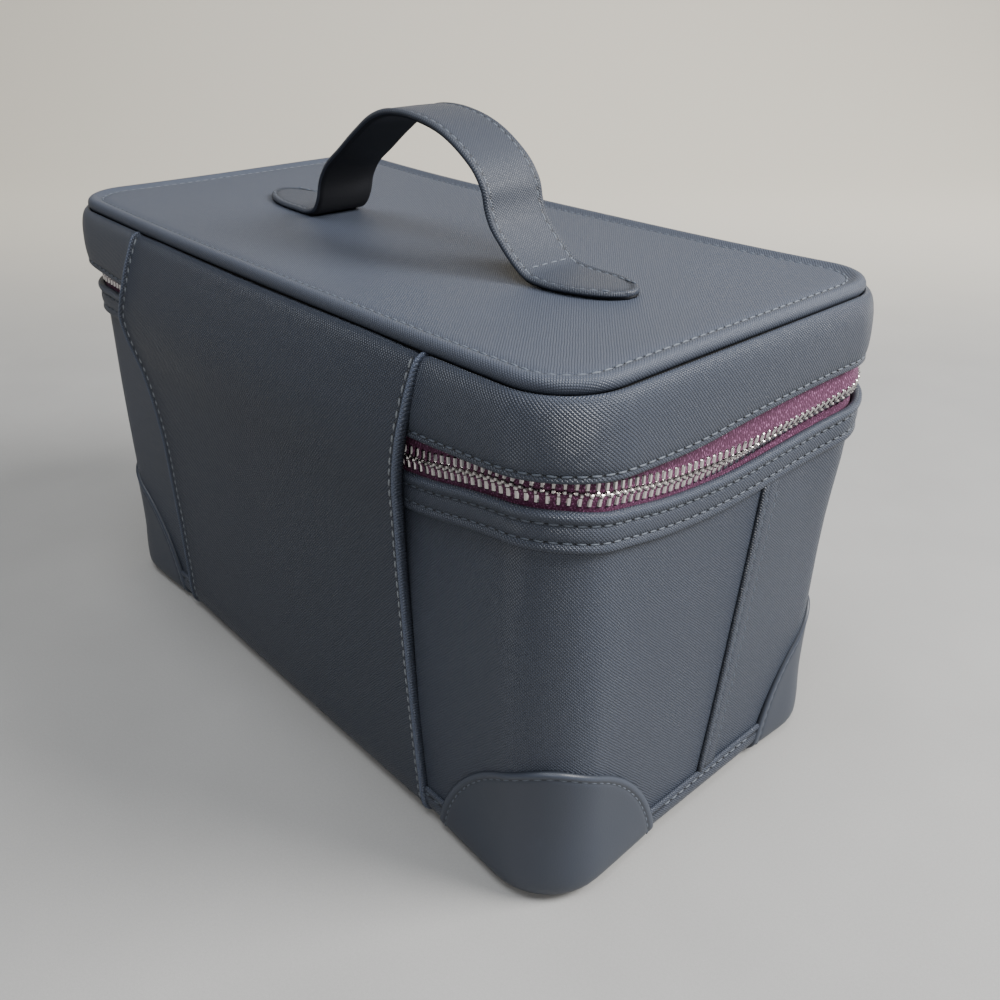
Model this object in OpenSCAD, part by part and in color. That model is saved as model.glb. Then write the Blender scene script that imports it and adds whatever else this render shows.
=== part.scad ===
// Cosmetic train case: a stiff leatherette box with a zip-round lid, hinged by a wide
// leather panel at the back and carried by a stitched strap handle.
// Frame: origin under the middle of the base, X along the case, Z up, front at -Y.

/* [Case] */
// Length of the body over its cover
case_l = 301; // [240:1:360]
// Depth of the body over its cover
case_w = 155; // [130:1:200]
// Height of the body to the top of its rim band
case_h = 147; // [110:1:190]
// Corner radius of the body in plan, over its cover
corner_r = 22; // [18:0.5:34]
// Radius of the bottom edge at the base trim
base_round = 5; // [4:0.1:7]

/* [Lid] */
// Height of the lid from its hem to its top
lid_h = 28; // [24:0.5:50]
// How far the lid's wall stands outside the body's cover
lid_overhang = 3.5; // [2.5:0.1:6]
// Radius of the turned hem at the foot of the lid's wall
hem_r = 1.5; // [1.3:0.1:2.5]
// Radius of the padded shoulder at the top of the lid's wall
shoulder_r = 5; // [3.5:0.1:7]
// Radius of the piping round the top panel
piping_r = 2.6; // [2:0.1:3.2]
// Radius of the cord inside the piping
piping_cord_r = 1.4; // [0.8:0.1:1.7]
// How far the piping lies inside the body's cover
piping_inset = 0.5; // [0:0.1:2]
// How far the top panel sags at its middle
lid_sag = 3; // [1:0.1:3.4]

/* [Layers] */
// Thickness of the leatherette
leather_t = 1.2; // [0.8:0.1:1.6]
// Thickness of the foam behind the body's cover, which the zip tape also takes up
foam_t = 0.8; // [0.5:0.1:1.5]
// Thickness of the stiff wall boards
board_t = 2.5; // [1.5:0.1:4]
// Thickness of the base board and of the lid's top board
plate_t = 3; // [2:0.1:5]
// Thickness of the fabric lining
lining_t = 0.7; // [0.4:0.1:1.2]
// Thickness of the pad on the floor of the case
floor_pad_t = 1; // [0.6:0.1:3]
// Thickness of the binding tape on the inner edges
binding_t = 0.6; // [0.4:0.1:1]
// Height of the binding tape inside
binding_h = 4.5; // [3:0.5:8]

/* [Rim band and zip] */
// Height of the folded rim band
band_h = 11; // [8:0.5:16]
// How far the rim band stands out from the cover
band_proud = 1.6; // [1:0.1:2.5]
// Height of the rim band that lies over the zip tape
band_lap = 8; // [5:0.5:10]
// Height of the zip opening between the rim band and the lid's hem
zip_gap = 11; // [10:0.5:14]
// Width over the closed zip chain
chain_w = 6.4; // [5:0.1:7.5]
// Slit between the two rows of teeth
chain_slit = 0.8; // [0.7:0.1:1.2]
// Pitch of the zip teeth
tooth_pitch = 2.9; // [2.5:0.1:4]
// Length of a tooth along the zip
tooth_l = 1.4; // [1:0.1:1.6]
// Thickness of a tooth across the tape
tooth_t = 2.6; // [2:0.1:3]
// How far the zip runs in behind the hinge panel
zip_tuck = 10; // [5:1:20]

/* [Zip sliders] */
// Length of a slider
slider_l = 12; // [9:0.5:16]
// Width of a slider
slider_w = 8.8; // [7.6:0.1:9.4]
// Width of a slider at its narrow end
slider_nose_w = 7; // [5:0.1:7.6]
// Length of the wedge that parts the teeth
slider_wedge_l = 3; // [2:0.1:4]
// Thickness of a slider's plates
slider_t = 1.3; // [1:0.1:1.8]
// Running clearance of a slider over the teeth and in the slit
slider_gap = 0.15; // [0.1:0.05:0.3]
// Gap between the two sliders where they meet at the front
slider_meet = 4; // [2:0.5:12]
// Radius of the bar that the pull hangs on
bar_r = 0.8; // [0.6:0.1:1]
// Clearance of the pull round its bar
bar_gap = 0.1; // [0.05:0.05:0.2]
// Space between the slider's plate and the bar
bar_standoff = 1.6; // [1.5:0.1:2.5]
// Length of a pull from its bar to its tip
pull_l = 32; // [20:1:45]
// Width of a pull
pull_w = 7; // [5:0.5:9]
// Width of a pull's neck
pull_neck_w = 4.4; // [3:0.2:5]
// Length of a pull's neck from its bar
pull_neck_l = 13; // [8:0.5:14]
// Bore near a pull's tip
pull_hole_d = 3.5; // [2:0.1:4]
// Thickness of a pull
pull_t = 1.4; // [1:0.1:2]

/* [Covers] */
// Thickness of the hinge panel over the body
panel_t = 2.4; // [1.8:0.1:3.2]
// How far each side of the hinge panel lies from the end of the case, at the base
panel_foot_inset = 60.5; // [58.5:0.5:80]
// How far it lies from the end at the fold
panel_waist_inset = 68; // [58.5:0.5:85]
// How far it lies from the end at the top of the lid's wall
panel_head_inset = 57.5; // [55.5:0.5:85]
// Height of the flexible fold in the hinge panel
fold_h = 3; // [2:0.5:5]
// How far the rear covers run in under the hinge panel
rear_lap = 12; // [6:1:25]
// Height of the base trim
trim_h = 14; // [10:0.5:20]
// How far the base trim stands out from the cover
trim_proud = 1.4; // [1:0.1:2]
// Width of the seam strips on the ends
seam_w = 9; // [6:0.5:14]
// How far the seam strips stand out
seam_proud = 1.2; // [0.8:0.1:1.6]
// Place of a seam's rear edge at the base, in front of the middle where negative
seam_foot_y = 1; // [-20:1:20]
// How far a seam leans to the front on its way up
seam_lean = 17; // [0:1:30]

/* [Corner patches] */
// How far a back patch reaches along each side from the corner
patch_reach = 54; // [40:1:57]
// How far a front patch reaches along each side from the corner
front_patch_reach = 42; // [36:1:57]
// Height of a patch at the corner
patch_h = 57; // [36:1:70]
// Fullness of a patch's arched outline, 1 for straight sides and 2 for an ellipse
patch_fullness = 1.8; // [1.4:0.1:2.4]
// Thickness of a patch on the wall
patch_t = 1.6; // [1.2:0.1:2.4]
// Thickness of a patch under the base, where the case stands on it
patch_sole_t = 1.2; // [0.8:0.1:2]
// How far a patch turns in under the base
patch_turn = 17; // [10:0.5:17.5]

/* [Handle] */
// Width of the strap in its arch
strap_w = 27; // [20:0.5:29]
// Width of a sewn tongue at its widest place
tongue_w = 30; // [26:0.5:36]
// Width of a tongue's rounded tip
tongue_tip_w = 20; // [12:0.5:24]
// Thickness of the strap over its three layers
strap_t = 3.2; // [2.8:0.1:5]
// Length over the tips of the sewn tongues
handle_l = 212; // [190:1:230]
// Where the strap begins to rise, from the middle
rise_x = 66; // [60:1:74]
// Half width of the arch, where the strap stands steepest
arch_x = 47; // [40:1:54]
// Height of that steepest place over the lid
arch_knee_h = 17; // [12:1:24]
// Height of the arch over the lid, at the middle of the strap's thickness
arch_h = 45.5; // [34:0.5:60]
// Fullness of the arch, from pointed to square-shouldered
arch_fullness = 0.55; // [0.4:0.05:0.8]
// How far the arch leans to the right-hand end, left where negative
arch_lean = -9; // [-10:0.5:10]

/* [Hidden] */
$fn = 64;

leather = "#5c636c";
leather_dark = "#474d55";
smooth_leather = "#525963";
foam = "#c9c6bd";
board = "#8d7a62";
tape = "#6b3560";
lining = "#5a3553";
metal = "#c9ccd0";

// Plan of the case: half sizes over the cover, and the half lengths of the straight runs
half_l = case_l / 2;
half_w = case_w / 2;
run_l = half_l - corner_r;
run_w = half_w - corner_r;

// Depths of the wall's layers, measured outward from the cover's outer face
foam_u = -leather_t;
board_u = foam_u - foam_t;
lining_u = board_u - board_t;
inner_u = lining_u - lining_t;

// Levels of the base
cover_z = patch_sole_t + base_round;
base_board_z = patch_sole_t + trim_proud;
floor_z = base_board_z + plate_t;
base_u = trim_proud - base_round;

// Levels of the rim and the zip
band_z = case_h - band_h;
lap_z = case_h - band_lap;
rim_board_z = case_h - binding_t;
zip_z = case_h + zip_gap / 2;
tape_mid_u = foam_u - foam_t / 2;
tape_edge = chain_w / 2;

// Levels of the lid
hem_z = case_h + zip_gap;
lid_z = hem_z + lid_h;
lid_wall_z = lid_z - 2 * piping_r;
top_board_z = lid_wall_z - plate_t;
lid_tape_z = hem_z + band_lap;
lid_board_z = hem_z + leather_t;
piping_u = -piping_inset - piping_r;
top_u = piping_u - piping_r;
seat_gap = 0.05;

// Hinge panel's widths, and its fold line on its outer face
panel_foot_w = case_l - 2 * panel_foot_inset;
panel_waist_w = case_l - 2 * panel_waist_inset;
panel_head_w = case_l - 2 * panel_head_inset;
hinge_y = half_w + panel_t;
fold_low_z = zip_z - fold_h / 2;
fold_high_z = zip_z + fold_h / 2;
zip_end_x = panel_waist_w / 2 - zip_tuck;
rear_end_x = panel_waist_w / 2 - rear_lap;

// Sliders
slit_half = chain_slit / 2;
slider_x = slider_meet / 2 + slider_l / 2;
slider_face = tooth_t / 2 + slider_gap;
bar_out = slider_face + slider_t + bar_standoff;
zip_front_y = -half_w - tape_mid_u;

// Handle: the place of each tongue's end, the middle of its round tip and its widest place
tongue_x = handle_l / 2;
tip_x = tongue_x - tongue_tip_w / 2;
wide_x = rise_x + tongue_tip_w / 2;
curve_steps = 10;
sag_steps = 12;

// Points of an arc in a profile, from one angle to another
function arc(cu, cz, r, from, to, steps = 6) =
    [for (i = [0:steps]) let (a = from + (to - from) * i / steps) [cu + r * cos(a), cz + r * sin(a)]];

// A rectangle in a profile, between two depths and two levels
function strip(u0, u1, z0, z1) = [[u0, z0], [u1, z0], [u1, z1], [u0, z1]];

// Level of the sagging top panel, moved by a height
function sag_z(x, rise = 0) = lid_z + rise - lid_sag * (1 - pow(x / half_l, 2));

function sag_line(rise) =
    [for (i = [-sag_steps:sag_steps]) let (x = half_l * i / sag_steps) [x, sag_z(x, rise)]];

// Points on a cubic curve through two end points and two handles
function curve(p) =
    [for (i = [0:curve_steps]) let (t = i / curve_steps, s = 1 - t)
        s*s*s * p[0] + 3*s*s*t * p[1] + 3*s*t*t * p[2] + t*t*t * p[3]];

function reversed(list) = [for (i = [len(list) - 1:-1:0]) list[i]];

// The case's plan, moved outward by u
module plan(u) {
    r = corner_r + u;
    square([2 * (half_l + u), 2 * run_w], center = true);
    square([2 * run_l, 2 * (half_w + u)], center = true);
    for (sx = [-1, 1], sy = [-1, 1])
        translate([sx * run_l, sy * run_w])
            circle(r = r);
}

// A flat layer with the case's plan, moved outward by u
module layer(u, z0, z1) {
    translate([0, 0, z0])
        linear_extrude(z1 - z0)
            plan(u);
}

// A profile of depth and level, swept round the case's plan
module sweep_round() {
    for (k = [0:3]) {
        reach = k % 2 == 0 ? half_l : half_w;
        half_run = k % 2 == 0 ? run_w : run_l;
        rotate([0, 0, 90 * k]) {
            translate([reach, half_run, 0])
                rotate([90, 0, 0])
                    linear_extrude(2 * half_run)
                        children();
            translate([reach - corner_r, half_run, 0])
                rotate_extrude(angle = 90)
                    translate([corner_r, 0])
                        children();
        }
    }
}

// The same sweep for a profile given as points
module band_round(points) {
    sweep_round()
        polygon(points);
}

// An outline of X and Z, made a slab between two depths behind the cover's back face
module back_slab(points, u0, u1) {
    translate([0, half_w + u1, 0])
        rotate([90, 0, 0])
            linear_extrude(u1 - u0)
                polygon(points);
}

// An outline of Y and Z, made a slab on an end of the case, side -1 left or 1 right
module end_slab(points, side, u0, u1) {
    translate([side * half_l + (side > 0 ? u0 : -u1), 0, 0])
        rotate([90, 0, 90])
            linear_extrude(u1 - u0)
                polygon(points);
}

// Outlines of the hinge panel on the body and on the lid
function panel_half(z) =
    z < zip_z ? (panel_foot_w + (panel_waist_w - panel_foot_w) * z / zip_z) / 2
              : (panel_waist_w + (panel_head_w - panel_waist_w) * (z - zip_z) / (lid_wall_z - zip_z)) / 2;

function panel_outline(z0, z1) =
    [[-panel_half(z0), z0], [panel_half(z0), z0], [panel_half(z1), z1], [-panel_half(z1), z1]];

// Place of a seam's rear edge at a level
function seam_y(z) = seam_foot_y - seam_lean * z / band_z;

// The half of the case in front of the seams
module front_half() {
    rotate([90, 0, 90])
        linear_extrude(2 * case_l, center = true)
            polygon([
                [-case_w, 0], [seam_y(0), 0], [seam_y(case_h), case_h], [-case_w, case_h]
            ]);
}

module body_skin() {
    band_round(strip(foam_u, 0, cover_z, lap_z));
}

// Boards and foam of the body

module base_board() {
    color(board)
        layer(base_u, base_board_z, floor_z);
}

module wall_board() {
    color(board)
        band_round(strip(lining_u, board_u, floor_z, rim_board_z));
}

module wall_foam() {
    color(foam)
        band_round(strip(board_u, foam_u, cover_z, lap_z));
}

// Covers of the body

module base_cover() {
    color(leather_dark)
        layer(base_u, patch_sole_t, base_board_z);
}

module front_cover() {
    color(leather)
        intersection() {
            body_skin();
            front_half();
        }
}

module rear_cover(side) {
    color(leather)
        intersection() {
            difference() {
                body_skin();
                front_half();
            }
            translate([side > 0 ? rear_end_x : -rear_end_x - case_l, -case_w, 0])
                cube([case_l, 2 * case_w, case_h]);
        }
}

module rear_cover_left() {
    rear_cover(-1);
}

module rear_cover_right() {
    rear_cover(1);
}

module back_stiffener() {
    color(board)
        back_slab([
            [-rear_end_x, cover_z], [rear_end_x, cover_z], [rear_end_x, lap_z], [-rear_end_x, lap_z]
        ], foam_u, 0);
}

module hinge_panel_lower() {
    color(leather)
        back_slab(panel_outline(base_board_z, fold_low_z), 0, panel_t);
}

module hinge_fold() {
    color(leather)
        back_slab(panel_outline(fold_low_z, fold_high_z), leather_t, panel_t);
}

module seam_strip(side) {
    color(leather)
        end_slab([
            [seam_y(trim_h) - seam_w, trim_h], [seam_y(trim_h), trim_h],
            [seam_y(band_z), band_z], [seam_y(band_z) - seam_w, band_z]
        ], side, 0, seam_proud);
}

module seam_strip_left() {
    seam_strip(-1);
}

module seam_strip_right() {
    seam_strip(1);
}

module rim_band() {
    color(leather)
        difference() {
            band_round([
                [0, band_z], [band_proud, band_z], [band_proud, case_h],
                [foam_u, case_h], [foam_u, lap_z], [0, lap_z]
            ]);
            back_slab(panel_outline(band_z, case_h), foam_u, panel_t);
        }
}

// Base trim and corner patches

// The front patches reach less far than the back ones
function corner_reach(sy) = sy < 0 ? front_patch_reach : patch_reach;

// The arched outline of a corner patch seen square to the corner
module patch_outline(reach) {
    half = reach / sqrt(2);
    n = 2 / patch_fullness;
    polygon(concat(
        [[-half, -patch_sole_t], [half, -patch_sole_t]],
        [for (a = [0:10:90]) [half * pow(cos(a), n), patch_h * pow(sin(a), n)]],
        [for (a = [80:-10:0]) [-half * pow(cos(a), n), patch_h * pow(sin(a), n)]]
    ));
}

// The patch's outline cut through one corner, given by its two signs
module patch_cut(sx, sy) {
    reach = corner_reach(sy);
    length = 2 * reach;
    translate([sx * half_l, sy * half_w, 0])
        rotate([0, 0, -45 * sx * sy])
            translate([0, sy * (patch_turn - reach), 0])
                rotate([90, 0, 0])
                    linear_extrude(length, center = true)
                        patch_outline(reach);
}

module corner_patch(sx, sy) {
    reach = corner_reach(sy);
    color(smooth_leather)
        intersection() {
            band_round(concat(
                [[patch_t, patch_h]],
                reversed(arc(patch_t - cover_z, cover_z, cover_z, 270, 360)),
                [[-patch_turn, 0], [-patch_turn, patch_sole_t], [base_u, patch_sole_t]],
                arc(base_u, cover_z, -base_u, 270, 360),
                [[0, patch_h]]
            ));
            patch_cut(sx, sy);
            translate([sx * half_l, sy * half_w, 0])
                cube([2 * reach + 2 * patch_t, 2 * reach + 2 * patch_t, 2 * patch_h], center = true);
        }
}

module corner_patch_front_left() {
    corner_patch(-1, -1);
}

module corner_patch_front_right() {
    corner_patch(1, -1);
}

module corner_patch_back_left() {
    corner_patch(-1, 1);
}

module corner_patch_back_right() {
    corner_patch(1, 1);
}

module trim_round() {
    difference() {
        band_round(concat(
            [[trim_proud, trim_h]],
            reversed(arc(base_u, cover_z, base_round, 270, 360)),
            arc(base_u, cover_z, base_round - trim_proud, 270, 360),
            [[0, trim_h]]
        ));
        for (sx = [-1, 1], sy = [-1, 1])
            patch_cut(sx, sy);
    }
}

module base_trim_front() {
    color(leather)
        intersection() {
            trim_round();
            translate([-run_l, -case_w, 0])
                cube([2 * run_l, case_w, trim_h]);
        }
}

module base_trim_end(side) {
    color(leather)
        intersection() {
            trim_round();
            translate([side > 0 ? 0 : -case_l, -run_w, 0])
                cube([case_l, 2 * run_w, trim_h]);
        }
}

module base_trim_left() {
    base_trim_end(-1);
}

module base_trim_right() {
    base_trim_end(1);
}

module base_trim_back() {
    color(leather)
        difference() {
            intersection() {
                trim_round();
                translate([-run_l, 0, 0])
                    cube([2 * run_l, case_w, trim_h]);
            }
            back_slab(panel_outline(0, trim_h), -corner_r, panel_t);
        }
}

// Lining of the body

module wall_lining() {
    color(lining)
        band_round(strip(inner_u, lining_u, floor_z, rim_board_z));
}

module floor_lining() {
    color(lining)
        layer(inner_u, floor_z, floor_z + floor_pad_t);
}

module rim_binding() {
    color(lining)
        band_round([
            [inner_u - binding_t, rim_board_z - binding_h], [inner_u, rim_board_z - binding_h],
            [inner_u, rim_board_z], [board_u, rim_board_z],
            [board_u, case_h], [inner_u - binding_t, case_h]
        ]);
}

// Zip tapes and teeth

// The stretch of the zip: all round, open at the back between its two ends
module zip_run() {
    difference() {
        children();
        translate([-zip_end_x, 0, 0])
            cube([2 * zip_end_x, case_w, 2 * lid_z]);
    }
}

module zip_tape_lower() {
    color(tape)
        zip_run()
            band_round(strip(board_u, foam_u, lap_z, zip_z - tape_edge));
}

module zip_tape_upper() {
    color(tape)
        zip_run()
            band_round(strip(board_u, foam_u, zip_z + tape_edge, lid_tape_z));
}

// Lengths of the zip's stretches, from its left end round the front to its right end
stub_l = run_l - zip_end_x;
bend_r = corner_r + tape_mid_u;
bend_l = PI / 2 * bend_r;
zip_legs = [stub_l, bend_l, 2 * run_w, bend_l, 2 * run_l, bend_l, 2 * run_w, bend_l, stub_l];

function leg_end(k) = k < 0 ? 0 : leg_end(k - 1) + zip_legs[k];

function leg_at(s, k = 0) = s <= leg_end(k) || k == len(zip_legs) - 1 ? k : leg_at(s, k + 1);

// Turn of the path at a distance along it, in degrees, and the place reached there
function path_turn(s) =
    let (k = leg_at(s), rest = s - leg_end(k - 1))
    90 * floor((k + 1) / 2) + (k % 2 == 1 ? rest / bend_l * 90 - 90 : 0);

function path_place(s) =
    let (
        k = leg_at(s),
        rest = s - leg_end(k - 1),
        quarter = floor(k / 2),
        sx = quarter == 0 || quarter == 1 ? -1 : 1,
        sy = quarter == 0 || quarter == 3 ? 1 : -1,
        a = 90 + path_turn(s)
    )
    k == 0 ? [-zip_end_x - rest, half_w + tape_mid_u] :
    k == 2 ? [-half_l - tape_mid_u, run_w - rest] :
    k == 4 ? [-run_l + rest, -half_w - tape_mid_u] :
    k == 6 ? [half_l + tape_mid_u, -run_w + rest] :
    k == 8 ? [run_l - rest, half_w + tape_mid_u] :
    [sx * run_l + bend_r * cos(a), sy * run_w + bend_r * sin(a)];

zip_l = leg_end(len(zip_legs) - 1);
tooth_n = floor(zip_l / tooth_pitch) - 1;

// A row of teeth between two levels, shifted along the zip by a share of the pitch
module teeth(z0, z1, shift) {
    color(metal)
        for (i = [0:tooth_n - 1]) {
            s = (i + shift) * tooth_pitch;
            place = path_place(s);
            translate([place[0], place[1], z0])
                rotate([0, 0, path_turn(s)])
                    translate([-tooth_l / 2, -tooth_t / 2, 0])
                        cube([tooth_l, tooth_t, z1 - z0]);
        }
}

module zip_teeth_lower() {
    teeth(zip_z - tape_edge, zip_z - slit_half, 0.5);
}

module zip_teeth_upper() {
    teeth(zip_z + slit_half, zip_z + tape_edge, 1);
}

// Sliders and pulls on the front run, side -1 left or 1 right

module slider(side) {
    half = slider_w / 2;
    nose = slider_nose_w / 2;
    end = slider_l / 2;
    color(metal)
        translate([side * slider_x, zip_front_y, zip_z])
            rotate([90, 0, 0])
                mirrored(side) {
                    for (z = [slider_face, -slider_face - slider_t])
                        translate([0, 0, z])
                            linear_extrude(slider_t)
                                polygon([
                                    [-end, -nose], [0, -half], [end, -half], [end, half], [0, half], [-end, nose]
                                ]);
                    translate([end - slider_wedge_l, slider_gap - slit_half, -slider_face])
                        cube([slider_wedge_l, chain_slit - 2 * slider_gap, 2 * slider_face]);
                    for (x = [-end, end - 2 * bar_r])
                        translate([x, -bar_r, slider_face + slider_t])
                            cube([2 * bar_r, 2 * bar_r, bar_standoff + bar_r]);
                    translate([-end, 0, bar_out])
                        rotate([0, 90, 0])
                            cylinder(r = bar_r, h = slider_l);
                }
}

// A shape drawn for the right-hand slider, mirrored for the left
module mirrored(side) {
    mirror([side < 0 ? 1 : 0, 0, 0])
        children();
}

module zip_slider_left() {
    slider(-1);
}

module zip_slider_right() {
    slider(1);
}

module pull(side) {
    eye_r = bar_r + bar_gap + pull_t / 2;
    tip_z = pull_w / 2 - pull_l;
    color(metal)
        translate([side * slider_x, zip_front_y - bar_out, zip_z])
            difference() {
                union() {
                    rotate([0, 90, 0])
                        cylinder(r = eye_r, h = pull_neck_w, center = true);
                    translate([-pull_neck_w / 2, -pull_t / 2, -pull_neck_l])
                        cube([pull_neck_w, pull_t, pull_neck_l]);
                    translate([-pull_w / 2, -pull_t / 2, tip_z])
                        cube([pull_w, pull_t, -pull_neck_l - tip_z]);
                    translate([0, 0, tip_z])
                        rotate([90, 0, 0])
                            cylinder(d = pull_w, h = pull_t, center = true);
                }
                rotate([0, 90, 0])
                    cylinder(r = bar_r + bar_gap, h = 2 * pull_neck_w, center = true);
                translate([0, 0, tip_z])
                    rotate([90, 0, 0])
                        cylinder(d = pull_hole_d, h = 2 * pull_t, center = true);
            }
}

module zip_pull_left() {
    pull(-1);
}

module zip_pull_right() {
    pull(1);
}

// Lid

// The outer face of the lid's wall from its hem to its shoulder, moved inward by a depth
function lid_face(depth) = concat(
    arc(lid_overhang - hem_r, hem_z + hem_r, hem_r - depth, 270, 360, 3),
    arc(lid_overhang - shoulder_r, lid_wall_z - shoulder_r, shoulder_r - depth, 0, 90)
);

module lid_wall_cover() {
    color(leather)
        band_round(concat(
            [[foam_u, hem_z]],
            lid_face(0),
            [[board_u, lid_wall_z], [board_u, lid_wall_z - leather_t]],
            reversed(lid_face(leather_t)),
            [[foam_u, hem_z + leather_t]]
        ));
}

module lid_wall_foam() {
    color(foam)
        band_round(concat(
            [[foam_u, hem_z + leather_t]],
            lid_face(leather_t),
            [[board_u, lid_wall_z - leather_t], [board_u, lid_tape_z], [foam_u, lid_tape_z]]
        ));
}

module lid_wall_board() {
    color(board)
        band_round(strip(lining_u, board_u, lid_board_z, top_board_z));
}

module lid_top_board() {
    color(board)
        layer(board_u, top_board_z, lid_wall_z);
}

// The part of the top panel's layers inside an outline of X and Z
module top_panel(points) {
    intersection() {
        layer(top_u - seat_gap, lid_wall_z, lid_z);
        rotate([90, 0, 0])
            linear_extrude(case_w, center = true)
                polygon(points);
    }
}

module lid_top_foam() {
    color(foam)
        top_panel(concat([[half_l, lid_wall_z], [-half_l, lid_wall_z]], sag_line(-leather_t)));
}

module lid_top_cover() {
    color(leather)
        top_panel(concat(sag_line(-leather_t), reversed(sag_line(0))));
}

module lid_piping() {
    color(leather)
        sweep_round()
            translate([piping_u, lid_z - piping_r + seat_gap])
                difference() {
                    circle(r = piping_r);
                    circle(r = piping_cord_r);
                }
}

module lid_piping_cord() {
    color(foam)
        sweep_round()
            translate([piping_u, lid_z - piping_r + seat_gap])
                circle(r = piping_cord_r);
}

module lid_ceiling_lining() {
    color(lining)
        layer(lining_u, top_board_z - lining_t, top_board_z);
}

module lid_wall_lining() {
    color(lining)
        band_round(strip(inner_u, lining_u, lid_board_z, top_board_z - lining_t));
}

module lid_binding() {
    color(lining)
        band_round([
            [inner_u - binding_t, lid_board_z - binding_t], [board_u, lid_board_z - binding_t],
            [board_u, lid_board_z], [inner_u, lid_board_z],
            [inner_u, lid_board_z + binding_h], [inner_u - binding_t, lid_board_z + binding_h]
        ]);
}

module hinge_panel_upper() {
    face = lid_face(0);
    color(leather)
        intersection() {
            translate([case_l / 2, half_w, 0])
                rotate([90, 0, -90])
                    linear_extrude(case_l)
                        mirror([1, 0])
                            polygon(concat(
                                [[leather_t, fold_high_z], [panel_t, fold_high_z]],
                                [for (p = face) [p[0] + panel_t - leather_t, p[1]]],
                                reversed(face),
                                [[leather_t, hem_z]]
                            ));
            back_slab(panel_outline(fold_high_z, lid_wall_z), -shoulder_r, lid_overhang + panel_t);
        }
}

// Handle

// The strap's middle line, from the middle of the arch out to the tip of a tongue
flare = (rise_x - arch_x) / 4;
half_line = concat(
    curve([
        [0, arch_h], [arch_fullness * arch_x, arch_h],
        [arch_x - flare, 2 * arch_knee_h - strap_t], [arch_x, arch_knee_h]
    ]),
    [for (p = curve([
        [arch_x, arch_knee_h], [arch_x + flare, strap_t], [arch_x + flare, strap_t / 2], [rise_x, strap_t / 2]
    ])) if (p[0] > arch_x) p],
    [[tongue_x, strap_t / 2]]
);
strap_line = concat(
    reversed([for (p = half_line) if (p[0] > 0) [-p[0], p[1]]]),
    half_line
);
// The line leaning to one end as it rises, laid on the sagging top panel
seated_line = [for (p = strap_line)
    let (lean = arch_lean * (p[1] - strap_t / 2) / (arch_h - strap_t / 2))
    [p[0] + lean, p[1] + seat_gap + sag_z(p[0])]];

// The line moved to one side by a distance, square to its own run
function beside(line, distance) =
    [for (i = [0:len(line) - 1])
        let (
            before = line[max(i - 1, 0)],
            after = line[min(i + 1, len(line) - 1)],
            run = (after - before) / norm(after - before)
        )
        line[i] + distance * [-run[1], run[0]]];

// The strap seen from above, drawn in by a margin
module strap_plan(margin) {
    half = strap_w / 2 - margin;
    wide = tongue_w / 2 - margin;
    tip = tongue_tip_w / 2 - margin;
    polygon([
        [-tip_x, -tip], [-wide_x, -wide], [-arch_x, -half], [arch_x, -half], [wide_x, -wide], [tip_x, -tip],
        [tip_x, tip], [wide_x, wide], [arch_x, half], [-arch_x, half], [-wide_x, wide], [-tip_x, tip]
    ]);
    for (side = [-1, 1])
        translate([side * tip_x, 0])
            circle(r = tip);
}

// One layer of the strap, between two distances from its middle line, drawn in by a margin
module strap_layer(low, high, margin) {
    intersection() {
        rotate([90, 0, 0])
            linear_extrude(tongue_w, center = true)
                polygon(concat(beside(seated_line, low), reversed(beside(seated_line, high))));
        translate([0, 0, lid_wall_z])
            linear_extrude(2 * arch_h)
                strap_plan(margin);
    }
}

module handle_outer() {
    color(leather)
        strap_layer(strap_t / 2 - leather_t, strap_t / 2, 0);
}

module handle_core() {
    color(board)
        strap_layer(leather_t - strap_t / 2, strap_t / 2 - leather_t, leather_t);
}

module handle_underside() {
    color(leather_dark)
        strap_layer(-strap_t / 2, leather_t - strap_t / 2, 0);
}

base_cover();
base_board();
wall_board();
wall_foam();
front_cover();
rear_cover_left();
rear_cover_right();
back_stiffener();
hinge_panel_lower();
hinge_fold();
seam_strip_left();
seam_strip_right();
rim_band();
zip_tape_lower();
zip_teeth_lower();
rim_binding();
wall_lining();
floor_lining();
base_trim_front();
base_trim_left();
base_trim_right();
base_trim_back();
corner_patch_front_left();
corner_patch_front_right();
corner_patch_back_left();
corner_patch_back_right();
lid_wall_board();
lid_wall_foam();
lid_wall_cover();
lid_top_board();
lid_top_foam();
lid_top_cover();
lid_piping();
lid_piping_cord();
lid_ceiling_lining();
lid_wall_lining();
lid_binding();
zip_tape_upper();
zip_teeth_upper();
hinge_panel_upper();
handle_outer();
handle_core();
handle_underside();
zip_slider_left();
zip_slider_right();
zip_pull_left();
zip_pull_right();
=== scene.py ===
import math

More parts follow.
